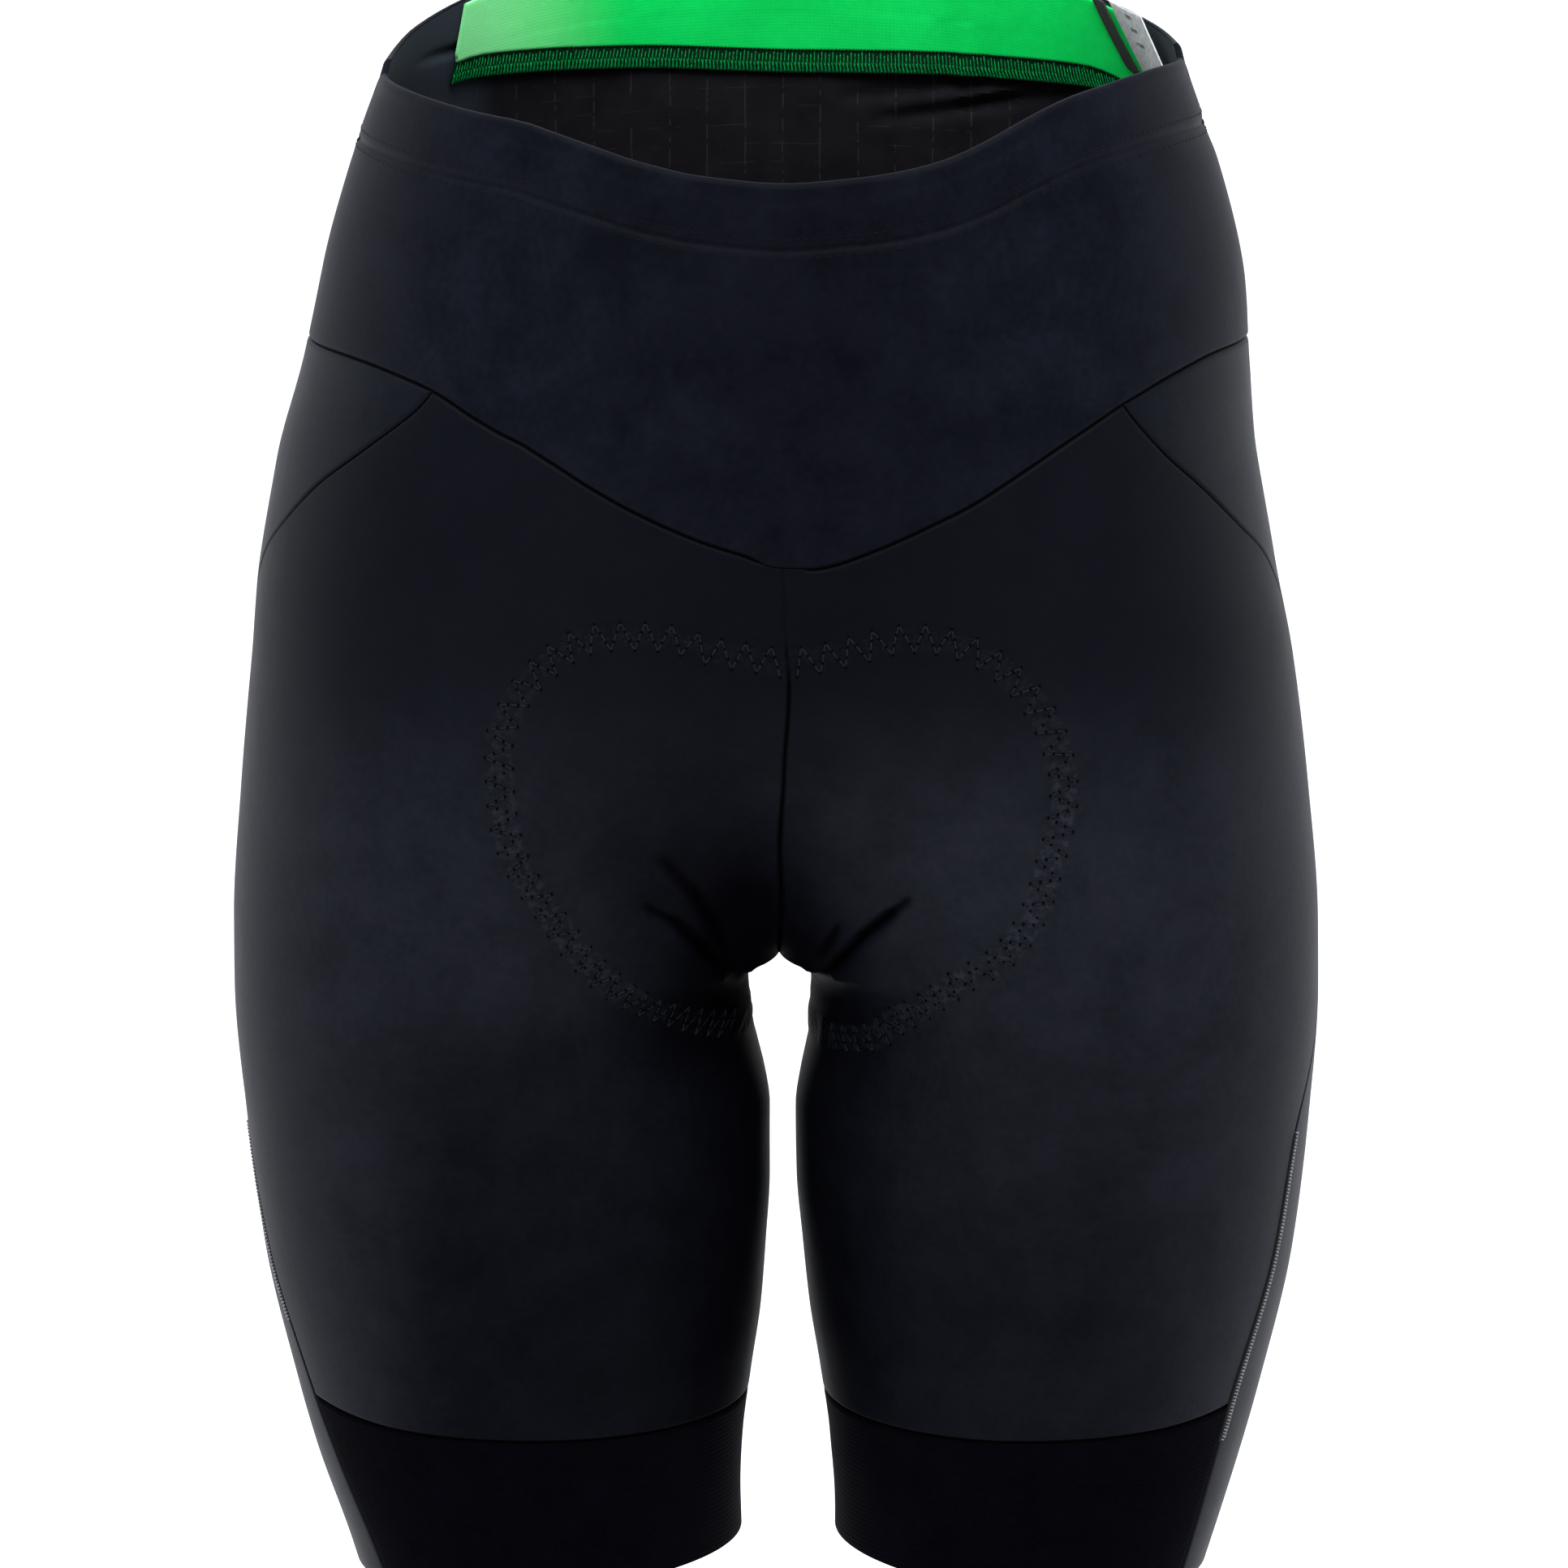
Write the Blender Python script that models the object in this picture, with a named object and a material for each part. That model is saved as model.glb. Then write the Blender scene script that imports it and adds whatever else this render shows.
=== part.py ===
"""Cycling shorts filled out as if worn, hollow and open at the waist and both hems.

Lengths in this file are millimetres and become metres when a mesh is made. +Z is up, the front
faces -Y and the wearer's left is +X. The origin is the centre of the waist opening, level with
the top edge at the sides.
"""

import math

import bpy
import numpy as np

MM = 0.001
WALL = 1.6  # cloth with its elastic, outer face to inner face
HALF_GAP = 0.15  # each piece stops this far short of a seam line
LAY_GAP = 0.4  # air between the cloth and a piece that lies on it
FACING_WALL = 1.2
LABEL_WALL = 1.0

CROTCH_Z = -283.0
CROTCH_ROUND = 11.5  # radius of the tent-shaped top of the gap between the legs
CORNER_POWER = 2.2  # squareness of the outer quarters of each section
BRIDGE_POWER = 3.0  # how smoothly the cloth bridges from thigh to thigh
FRONT_TURN_Z = -170.0  # below this the centre front curves under
BACK_TURN_Z = -150.0
FRONT_TURN_POWER = 2.0
BACK_TURN_POWER = 2.2
CROWN = 3.5  # how far the belly and the small of the back stand proud at the centre
CROWN_REACH = 85.0
CENTRE_ROUND = 12.0  # rounds the point of every V at the centre line

# Sections from the top down: height, half width, depth of the front and of the back from the
# side line, distance from the centre to the fullest line, and sideways lean.
SECTIONS = [
    ("z", "side", "front", "back", "fullest", "lean"),
    (60.0, 119.0, 90.0, 89.0, 18.0, 0.0),
    (40.0, 122.0, 92.0, 90.0, 20.0, 0.0),
    (5.0, 128.4, 95.0, 92.0, 20.0, 0.0),
    (-26.0, 140.0, 98.0, 95.0, 24.0, 0.0),
    (-58.0, 148.5, 101.0, 101.0, 30.0, -0.3),
    (-89.0, 153.0, 104.0, 108.0, 38.0, -2.5),
    (-121.0, 158.9, 106.0, 115.0, 48.0, -5.4),
    (-153.0, 164.8, 107.0, 121.0, 60.0, -5.2),
    (-185.0, 169.5, 107.0, 124.0, 72.0, -3.6),
    (-228.0, 174.3, 104.0, 122.0, 84.0, -3.1),
    (-271.0, 177.7, 99.0, 112.0, 90.0, -2.7),
    (-293.0, 177.9, 97.0, 104.0, 93.9, -2.5),
    (-337.0, 175.0, 92.0, 93.0, 89.6, -2.0),
    (-381.0, 170.0, 87.0, 85.0, 87.9, -1.7),
    (-425.0, 160.2, 78.0, 77.0, 85.7, -1.4),
    (-448.0, 154.2, 73.0, 73.0, 84.3, -1.4),
    (-482.0, 143.5, 68.0, 68.0, 79.3, -0.8),
    (-500.0, 138.0, 66.0, 66.0, 76.0, -0.8),
]

# Half the gap between the legs.
LEG_GAP = [
    ("z", "half_gap"),
    (-293.0, 11.5),
    (-304.0, 10.1),
    (-315.0, 8.3),
    (-326.0, 5.9),
    (-337.0, 4.4),
    (-359.0, 4.4),
    (-381.0, 5.8),
    (-403.0, 7.7),
    (-425.0, 11.2),
    (-448.0, 14.5),
    (-470.0, 15.8),
    (-500.0, 15.0),
]
# How far the centre seams and that gap sit to the wearer's left of the sections' own middle.
CENTRE_SHIFT = [
    ("z", "shift"),
    (-60.0, 0.0),
    (-110.0, 3.5),
    (-143.0, 4.8),
    (-163.0, 5.2),
    (-176.0, 5.4),
    (-189.0, 4.8),
    (-201.0, 3.7),
    (-214.0, 3.0),
    (-235.0, 1.7),
    (-254.0, 2.0),
    (-283.0, 1.0),
    (-324.0, 1.7),
    (-346.0, 1.5),
    (-381.0, 1.8),
    (-421.0, 2.2),
    (-448.0, 2.5),
    (-500.0, 2.4),
]

# Heights of the lines across one half, from the centre front (-1) over the side (0) to the
# centre back (1). Below the crotch -1 and 1 are both the inseam.
AROUND = (-1.0, -0.8, -0.5, -0.25, 0.0, 0.25, 0.5, 0.8, 1.0)
LINES = {
    "waist_edge": (-24.9, -20.5, -4.0, -0.5, 0.0, 11.0, 24.0, 34.0, 37.0),
    "casing_line": (-43.4, -39.0, -22.5, -19.0, -18.5, -7.5, 5.5, 15.5, 18.5),
    "casing_foot": (-45.4, -41.0, -24.5, -21.0, -20.5, -9.5, 3.5, 13.5, 16.5),
    "facing_foot": (-66.0, -60.0, -42.0, -35.0, -30.0, -17.0, -4.0, -2.8, -3.6),
    "yoke_seam": (-143.5, -126.0, -92.5, -83.0, -81.3, -80.0, -76.0, -71.0, -70.0),
    "crotch": (-283.0, -264.0, -243.0, -229.0, -223.0, -228.0, -240.0, -262.0, -283.0),
    "band_seam": (-432.5, -432.0, -430.0, -426.0, -422.5, -423.5, -427.0, -431.0, -432.5),
    "hem": (-480.0, -482.5, -486.0, -488.0, -488.0, -487.0, -484.0, -481.0, -480.0),
}
ROWS_BETWEEN = (2, 1, 2, 5, 11, 10, 4)
# How far the waist's three rows lie above those lines on each half.
WAIST_LIFT = [
    ("turn", "l", "r"),
    (-1.0, 0.0, 0.0),
    (-0.9, 0.3, 0.6),
    (-0.84, 1.0, 1.8),
    (-0.74, 3.0, 3.4),
    (-0.63, 5.0, 2.0),
    (-0.5, 5.8, -1.0),
    (-0.37, 7.2, -0.4),
    (-0.25, 7.7, 0.9),
    (-0.1, 7.6, 2.5),
    (0.0, 7.4, 2.8),
    (0.1, 7.1, 3.1),
    (0.25, 5.2, 3.9),
    (0.5, 2.0, 2.4),
    (0.8, 0.5, 0.5),
    (1.0, 0.0, 0.0),
]
# The same for the yoke's seam.
YOKE_LIFT = [
    ("turn", "l", "r"),
    (-1.0, 1.0, 1.0),
    (-0.98, -1.2, 2.9),
    (-0.94, -2.2, 3.4),
    (-0.90, -2.5, 4.4),
    (-0.85, -2.7, 6.0),
    (-0.80, -2.4, 7.5),
    (-0.75, -2.6, 8.4),
    (-0.70, -2.6, 7.9),
    (-0.64, -2.7, 5.4),
    (-0.58, -2.6, 3.9),
    (-0.50, -1.0, 3.7),
    (-0.42, 0.8, 3.1),
    (-0.28, 1.7, 1.4),
    (-0.12, 1.2, 0.6),
    (0.0, 0.0, 0.0),
    (1.0, 0.0, 0.0),
]

# Where the side panel begins and ends, as degrees round from the side line.
SIDE_PANEL = [
    ("z", "front_l", "front_r", "behind"),
    (40.0, 55.0, 55.0, 62.0),
    (-60.0, 54.0, 54.0, 58.0),
    (-92.0, 51.0, 51.0, 55.0),
    (-109.0, 45.4, 43.4, 52.0),
    (-123.5, 37.4, 33.6, 50.0),
    (-136.0, 30.0, 25.5, 48.0),
    (-150.0, 19.0, 15.0, 46.0),
    (-175.0, 6.0, 5.0, 43.0),
    (-230.0, 3.0, 2.0, 36.0),
    (-290.0, 9.0, 4.0, 29.0),
    (-341.0, 28.4, 12.0, 24.0),
    (-375.0, 31.6, 20.0, 22.0),
    (-407.0, 36.4, 28.0, 22.0),
    (-424.0, 38.2, 31.0, 22.0),
    (-452.0, 39.3, 36.4, 22.0),
    (-500.0, 39.5, 43.0, 22.0),
]
FRONT_COLUMNS, SIDE_COLUMNS, BACK_COLUMNS = 14, 7, 13

# The stitched outline of the seat pad: degrees round from straight up about its centre, and its
# reach there on each half.
PAD_CENTRE_Z = -225.0
PAD_OUTLINE = [
    ("turn", "l", "r"),
    (0.0, 56.5, 56.5),
    (12.0, 60.0, 60.0),
    (22.0, 66.0, 65.0),
    (30.0, 73.5, 73.6),
    (38.0, 80.0, 81.6),
    (47.0, 85.4, 90.8),
    (55.0, 88.4, 95.2),
    (64.0, 90.8, 98.2),
    (70.0, 92.0, 98.4),
    (78.0, 92.8, 95.0),
    (88.0, 91.8, 91.2),
    (100.0, 89.2, 86.6),
    (111.0, 88.2, 82.4),
    (120.0, 86.6, 80.8),
    (135.0, 81.0, 79.6),
    (150.0, 82.0, 79.8),
    (160.0, 86.0, 81.2),
    (180.0, 87.0, 87.0),
]
PAD_RISE = 1.0
PAD_SHOULDER = 9.0
CASING_RISE = 0.7

# Folds beside the crotch: ends as x and z, depth (a ridge is negative) and half breadth.
FRONT_FOLDS = [
    ("x1", "z1", "x2", "z2", "depth", "breadth"),
    (-42.0, -254.0, -16.0, -283.0, 1.6, 6.0),
    (37.0, -252.0, 14.0, -280.0, 1.6, 6.0),
    (-37.0, -238.0, -19.0, -268.0, 0.8, 5.0),
]
FACING_ENDS = (-106.0, 127.0)
# Slanted pieces on the facing: ends across at the top and the foot, first and last row as counted
# from the waist edge, and cells each way.
LABEL = {"top": (115.5, 126.3), "foot": (123.4, 131.3), "rows": (-0.15, 2.4), "cells": (6, 6)}
LABEL_STRIP = {"top": (109.5, 113.5), "foot": (118.4, 122.4), "rows": (-0.15, 2.6), "cells": (6, 2)}

NAVY = (0.012, 0.014, 0.024)
SIDE_BLUE = (0.022, 0.026, 0.038)
THREAD_BROWN = (0.020, 0.016, 0.013)
BAND_BROWN = (0.016, 0.013, 0.012)
GREEN = (0.03, 0.72, 0.14)
LABEL_GREY = (0.55, 0.56, 0.58)
STRIP_BLACK = (0.01, 0.01, 0.01)


def column(table, name):
    """One named column of a table whose first row holds the names."""
    place = table[0].index(name)
    return np.array([row[place] for row in table[1:]], float)


def smooth_through(at, stations, values):
    """A curve through the values that never overshoots between two of them."""
    x = np.asarray(stations, float)
    y = np.asarray(values, float)
    if x[0] > x[-1]:
        x, y = x[::-1], y[::-1]
    step = np.diff(x)
    slope = np.diff(y) / step
    tangent = np.zeros(len(x))
    same = slope[:-1] * slope[1:] > 0
    w1 = 2 * step[1:] + step[:-1]
    w2 = step[1:] + 2 * step[:-1]
    a = np.where(same, slope[:-1], 1.0)
    b = np.where(same, slope[1:], 1.0)
    tangent[1:-1] = np.where(same, (w1 + w2) / (w1 / a + w2 / b), 0.0)
    tangent[0], tangent[-1] = slope[0], slope[-1]
    at = np.clip(np.asarray(at, float), x[0], x[-1])
    k = np.clip(np.searchsorted(x, at, side="right") - 1, 0, len(step) - 1)
    t = (at - x[k]) / step[k]
    rise = step[k] * ((t**3 - 2 * t**2 + t) * tangent[k] + (t**3 - t**2) * tangent[k + 1])
    return y[k] * (2 * t**3 - 3 * t**2 + 1) + y[k + 1] * (3 * t**2 - 2 * t**3) + rise


def from_table(table, name, z):
    return smooth_through(z, column(table, table[0][0]), column(table, name))


def ease(t):
    t = np.clip(t, 0.0, 1.0)
    return t * t * (3 - 2 * t)


def half_gap(z):
    """How far the inner face of a leg stands from the centre plane."""
    below = CROTCH_Z - np.asarray(z, float)
    arch = np.sqrt(np.clip(CROTCH_ROUND**2 - np.clip(CROTCH_ROUND - below, 0, None) ** 2, 0, None))
    lower = from_table(LEG_GAP, "half_gap", z)
    return np.where(below <= 0, 0.0, np.where(below < CROTCH_ROUND, arch, lower))


def centre_depth(z, full, turn_z, power):
    """Depth of the centre seam: full above the turn, nothing at the crotch."""
    t = np.clip((turn_z - z) / (turn_z - CROTCH_Z), 0.0, 1.0)
    return full * (1 - t**power) ** (1 / power)


def depth(x, z, face):
    """Distance from the side plane to the cloth at x, on the front or the back."""
    side, full, middle = (from_table(SECTIONS, name, z) for name in ("side", face, "fullest"))
    turn_z, power = {
        "front": (FRONT_TURN_Z, FRONT_TURN_POWER),
        "back": (BACK_TURN_Z, BACK_TURN_POWER),
    }[face]
    bridge = centre_depth(z, full, turn_z, power)
    gap = half_gap(z)
    out = np.clip((x - middle) / (side - middle), 0.0, 1.0)
    outer = full * (1 - out**CORNER_POWER) ** (1 / CORNER_POWER)
    inward = np.clip((x - gap) / (middle - gap), 0.0, 1.0)
    round_part = np.sqrt(1 - (1 - inward) ** 2)
    core = np.clip(full**BRIDGE_POWER - bridge**BRIDGE_POWER, 0, None) * round_part**BRIDGE_POWER
    inner = (core + bridge**BRIDGE_POWER) ** (1 / BRIDGE_POWER)
    crown = CROWN * ease((z + 250.0) / 80.0) * (1 - (np.clip(x, 0, CROWN_REACH) / CROWN_REACH) ** 2) ** 2
    return np.where(x > middle, outer, inner) + crown * (1 - out)


def inside(x, y, z):
    side = from_table(SECTIONS, "side", z)
    reach = np.where(y < 0, depth(x, z, "front"), depth(x, z, "back"))
    return (x >= half_gap(z)) & (x <= side) & (np.abs(y) <= reach)


def height_at(turn, heights, shares, letter):
    """Height of a row at an angle; shares say how much of the two lifts it takes."""
    lifts = [from_table(table, letter, turn) for table in (WAIST_LIFT, YOKE_LIFT)]
    return smooth_through(turn, AROUND, heights) + shares[0] * lifts[0] + shares[1] * lifts[1]


def line_height(row, x, y, inner_x, outer_x):
    """Height of a row across the half at a place in plan."""
    soft = math.sqrt((outer_x - inner_x) ** 2 + CENTRE_ROUND**2) - CENTRE_ROUND
    along = np.sqrt(np.clip(x - inner_x, 0, None) ** 2 + CENTRE_ROUND**2) - CENTRE_ROUND
    turn = 1 - np.arcsin(np.clip(along / soft, 0.0, 1.0)) * 2 / math.pi
    return height_at(np.where(y < 0, -turn, turn), *row)


def even_heights(top, foot, count, reach):
    """Heights evenly spaced along the profile whose distance out is reach(z)."""
    z = foot + (top - foot) * (1 - np.cos(np.linspace(0, math.pi / 2, 801)))
    if reach(np.array([top]))[0] < reach(np.array([foot]))[0]:
        z = top + foot - z[::-1]
    z = np.sort(z)[::-1]
    out = reach(z)
    travelled = np.concatenate([[0], np.cumsum(np.hypot(np.diff(z), np.diff(out)))])
    wanted = np.linspace(0, travelled[-1], count + 1)
    return np.interp(wanted, travelled, z)


def all_rows():
    """Each row's heights at the stations with its shares of the lifts, and the row of each line."""
    names = list(LINES)
    rows = [np.array(LINES[names[0]])]
    shares = [(1.0, 0.0)]
    index = {names[0]: 0}
    for upper, lower, count in zip(names, names[1:], ROWS_BETWEEN):
        a, b = np.array(LINES[upper]), np.array(LINES[lower])
        part = [a + (b - a) * k / count for k in range(count + 1)]
        if lower == "crotch":
            front = even_heights(a[0], b[0], count, centre_front)
            back = even_heights(a[-1], b[-1], count, centre_back)
        elif upper == "crotch":
            front = back = even_heights(a[0], b[0], count, half_gap)
        else:
            front = back = None
        for k, row in enumerate(part):
            if front is not None:
                row[1] += 0.5 * (front[k] - row[0])
                row[-2] += 0.5 * (back[k] - row[-1])
                row[0], row[-1] = front[k], back[k]
        rows += part[1:]
        t = np.arange(1, count + 1) / count
        waist = {"casing_line": 1 + 0 * t, "casing_foot": 1 + 0 * t, "facing_foot": 1 - t}
        yoke = {"yoke_seam": t, "crotch": 1 - t}
        shares += list(zip(waist.get(lower, 0 * t), yoke.get(lower, 0 * t)))
        index[lower] = len(rows) - 1
    return list(zip(rows, shares)), index


def centre_front(z):
    return depth(np.zeros_like(z), z, "front")


def centre_back(z):
    return depth(np.zeros_like(z), z, "back")


def ring(heights, shares, letter):
    """Points round one half of a row, from the centre front or inseam to the centre back."""
    row = (heights, shares, letter)
    inner_z = height_at(np.array([-1.0, 1.0]), *row)
    outer_x = float(from_table(SECTIONS, "side", heights[4]))
    axis_x = float(from_table(SECTIONS, "fullest", 0.5 * (heights[4] + heights[2])))
    inner_x = float(half_gap(heights[0]))
    start, end = -math.pi, math.pi
    if inner_z[0] > CROTCH_Z:
        start = -math.pi + math.atan2(float(centre_front(inner_z)[0]), axis_x)
        end = math.pi - math.atan2(float(centre_back(inner_z)[1]), axis_x)
    turn = np.concatenate([np.linspace(start, 0, 220), np.linspace(0, end, 220)[1:]])
    across, along = np.cos(turn), np.sin(turn)
    near, far = np.zeros_like(turn), np.full_like(turn, 260.0)
    for _ in range(34):
        reach = 0.5 * (near + far)
        x, y = axis_x + reach * across, reach * along
        z = line_height(row, x, y, inner_x, outer_x)
        within = inside(x, y, z)
        near, far = np.where(within, reach, near), np.where(within, far, reach)
    x, y = axis_x + near * across, near * along
    z = line_height(row, x, y, inner_x, outer_x)
    points = np.stack([x, y, z], axis=1)
    if inner_z[0] > CROTCH_Z:
        points[0] = (0.0, -centre_front(inner_z)[0], inner_z[0])
        points[-1] = (0.0, centre_back(inner_z)[1], inner_z[1])
    else:
        points[0] = points[-1] = (inner_x, 0.0, inner_z[0])
    return points, turn


def spread(points, count):
    """count + 1 points evenly spaced along a run of points."""
    travelled = np.concatenate([[0], np.cumsum(np.linalg.norm(np.diff(points, axis=0), axis=1))])
    wanted = np.linspace(0, travelled[-1], count + 1)
    return np.stack([np.interp(wanted, travelled, points[:, k]) for k in range(3)], axis=1)


def cut_at(points, turn, angle):
    """The point of the run at an angle, and the index of the first point past it."""
    at = np.array([np.interp(angle, turn, points[:, k]) for k in range(3)])
    return at, int(np.searchsorted(turn, angle))


def split_ring(heights, shares, letter):
    """The row's points at the columns of the front, the side panel and the back."""
    points, turn = ring(heights, shares, letter)
    front_angle = back_angle = 0.0
    front_z = back_z = heights[4]
    for _ in range(8):
        front_angle = -math.radians(float(from_table(SIDE_PANEL, "front_" + letter, front_z)))
        back_angle = math.radians(float(from_table(SIDE_PANEL, "behind", back_z)))
        front_z = np.interp(front_angle, turn, points[:, 2])
        back_z = np.interp(back_angle, turn, points[:, 2])
    first, a = cut_at(points, turn, front_angle)
    second, b = cut_at(points, turn, back_angle)
    front = spread(np.vstack([points[:a], first]), FRONT_COLUMNS)
    side = spread(np.vstack([first, points[a:b], second]), SIDE_COLUMNS)
    back = spread(np.vstack([second, points[b:]]), BACK_COLUMNS)
    return np.vstack([front, side[1:], back[1:]])


def half_grid(sign, rows):
    """Grid of points of one half; sign is 1 for the wearer's left, at +X."""
    letter = "l" if sign > 0 else "r"
    grid = np.stack([split_ring(heights, shares, letter) for heights, shares in rows])
    x, z = grid[..., 0], grid[..., 2]
    inner = ease(1 - x / from_table(SECTIONS, "fullest", z))
    shift = from_table(CENTRE_SHIFT, "shift", z) * inner
    grid[..., 0] = sign * x + from_table(SECTIONS, "lean", z) + shift
    return grid


def outward(grids):
    """Directions out of the cloth, shared by every point that the halves and seams share."""
    points = np.concatenate([grid.reshape(-1, 3) for grid in grids])
    _, joined = np.unique(np.round(points, 3), axis=0, return_inverse=True)
    joined = joined.reshape(-1)
    total = np.zeros((joined.max() + 1, 3))
    start = 0
    for grid, sign in zip(grids, (1, -1)):
        index = joined[start : start + grid.shape[0] * grid.shape[1]].reshape(grid.shape[:2])
        start += index.size
        down = grid[1:, 1:] - grid[:-1, :-1]
        over = grid[1:, :-1] - grid[:-1, 1:]
        normal = sign * np.cross(over, down)
        for rows, columns in ((slice(None, -1), slice(None, -1)), (slice(1, None), slice(1, None)),
                              (slice(None, -1), slice(1, None)), (slice(1, None), slice(None, -1))):
            np.add.at(total, index[rows, columns].reshape(-1), normal.reshape(-1, 3))
    total /= np.linalg.norm(total, axis=1, keepdims=True)
    directions = total[joined]
    first = grids[0].shape[0] * grids[0].shape[1]
    return directions[:first].reshape(grids[0].shape), directions[first:].reshape(grids[1].shape)


def pad_rise(points):
    """The cloth over the seat pad stands a little proud inside its stitched outline."""
    z = points[..., 2]
    x = points[..., 0] - from_table(SECTIONS, "lean", z) - from_table(CENTRE_SHIFT, "shift", z)
    up = z - PAD_CENTRE_Z
    turn = np.degrees(np.arctan2(np.abs(x), up))
    reach = np.where(x > 0, from_table(PAD_OUTLINE, "l", turn), from_table(PAD_OUTLINE, "r", turn))
    inset = reach - np.hypot(x, up)
    front = ease((20.0 - points[..., 1]) / 20.0)
    return PAD_RISE * ease(inset / PAD_SHOULDER) * front


def front_folds(points):
    """How far the folds beside the crotch press the cloth in."""
    total = np.zeros(points.shape[:-1])
    for row in FRONT_FOLDS[1:]:
        fold = dict(zip(FRONT_FOLDS[0], row))
        a = np.array([fold["x1"], fold["z1"]])
        b = np.array([fold["x2"], fold["z2"]])
        flat = points[..., [0, 2]]
        t = np.clip(((flat - a) @ (b - a)) / ((b - a) @ (b - a)), 0, 1)
        away = np.linalg.norm(flat - a - t[..., None] * (b - a), axis=-1)
        total += fold["depth"] * np.exp(-((away / fold["breadth"]) ** 2))
    return total * (points[..., 1] < 0)


class Garment:
    """The two half grids with their outward directions, and the rows of the seam lines."""

    def __init__(self):
        rows, self.line = all_rows()
        self.grids = [half_grid(1, rows), half_grid(-1, rows)]
        self.normals = list(outward(self.grids))
        self.row_count = len(rows)
        self.last = FRONT_COLUMNS + SIDE_COLUMNS + BACK_COLUMNS
        self.relief = [self.raised(grid) for grid in self.grids]

    def raised(self, grid):
        rise = pad_rise(grid) - front_folds(grid)
        casing = np.zeros(self.row_count)
        casing[0] = 0.4 * CASING_RISE
        casing[1 : self.line["casing_line"] + 1] = CASING_RISE
        return rise + casing[:, None]

    def stations(self, half, columns):
        return [(half, c) for c in columns]

    def pick(self, stations, first, last):
        """Points, outward directions and relief of some columns between two rows."""
        rows = slice(first, last + 1)
        points = np.stack([self.grids[h][rows, c] for h, c in stations], axis=1)
        normals = np.stack([self.normals[h][rows, c] for h, c in stations], axis=1)
        rise = np.stack([self.relief[h][rows, c] for h, c in stations], axis=1)
        return points, normals, rise


def draw_in(points, rows_too):
    """Moves the edge points of a patch in from the seam lines."""
    moved = points.copy()

    def step(edge, inner):
        way = inner - edge
        return HALF_GAP * way / np.linalg.norm(way, axis=-1, keepdims=True)

    moved[:, 0] += step(points[:, 0], points[:, 1])
    moved[:, -1] += step(points[:, -1], points[:, -2])
    if rows_too[0]:
        moved[0] += step(points[0], points[1])
    if rows_too[1]:
        moved[-1] += step(points[-1], points[-2])
    return moved


def wall_mesh(outer, inner):
    """Vertices and triangles of a closed sheet between two grids of points."""
    rows, columns = outer.shape[:2]
    vertices = np.concatenate([outer.reshape(-1, 3), inner.reshape(-1, 3)])
    index = np.arange(rows * columns).reshape(rows, columns)
    a, b = index[:-1, :-1].reshape(-1), index[:-1, 1:].reshape(-1)
    c, d = index[1:, 1:].reshape(-1), index[1:, :-1].reshape(-1)
    skin = np.concatenate([np.stack([a, b, c], 1), np.stack([a, c, d], 1)])
    under = skin[:, ::-1] + rows * columns
    edge = np.concatenate([index[0, :], index[1:, -1], index[-1, -2::-1], index[-2:0:-1, 0]])
    after = np.roll(edge, -1)
    lower = rows * columns
    rim = np.concatenate([
        np.stack([after, edge, edge + lower], 1),
        np.stack([after, edge + lower, after + lower], 1),
    ])
    triangles = np.concatenate([skin, under, rim])
    corner = vertices[triangles]
    volume = np.einsum("ij,ij->i", corner[:, 0], np.cross(corner[:, 1], corner[:, 2])).sum()
    return vertices, triangles if volume > 0 else triangles[:, ::-1]


def cloth_material(name, colour, roughness):
    material = bpy.data.materials.new(name)
    material.use_nodes = True
    shader = material.node_tree.nodes["Principled BSDF"]
    shader.inputs["Base Color"].default_value = (*colour, 1.0)
    shader.inputs["Roughness"].default_value = roughness
    shader.inputs["Metallic"].default_value = 0.0
    return material


def add_piece(name, outer, inner, material):
    vertices, triangles = wall_mesh(outer, inner)
    mesh = bpy.data.meshes.new(name)
    mesh.from_pydata((vertices * MM).tolist(), [], triangles.tolist())
    mesh.validate()
    mesh.materials.append(material)
    piece = bpy.data.objects.new(name, mesh)
    bpy.context.scene.collection.objects.link(piece)


def add_panel(garment, name, stations, first, last, material):
    """A cut piece of the outer cloth between two rows and over some columns."""
    points, normals, rise = garment.pick(stations, first, last)
    seams = (first != 0, last != garment.row_count - 1)
    rise = rise[..., None] * normals
    edge = draw_in(points, seams)
    add_piece(name, edge + rise, edge - WALL * normals, material)


def yoke_front(garment):
    to_side = range(FRONT_COLUMNS + SIDE_COLUMNS, 0, -1)
    stations = garment.stations(1, to_side) + garment.stations(0, range(FRONT_COLUMNS + SIDE_COLUMNS + 1))
    cloth = cloth_material("yoke_front", NAVY, 0.55)
    add_panel(garment, "yoke_front", stations, 0, garment.line["yoke_seam"], cloth)


def back_stations(garment):
    """Columns across the whole back, from the wearer's right to the left."""
    first = FRONT_COLUMNS + SIDE_COLUMNS
    return garment.stations(1, range(first, garment.last)) + garment.stations(
        0, range(garment.last, first - 1, -1)
    )


def yoke_back(garment):
    cloth = cloth_material("yoke_back", THREAD_BROWN, 0.7)
    add_panel(garment, "yoke_back", back_stations(garment), 0, garment.line["yoke_seam"], cloth)


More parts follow.
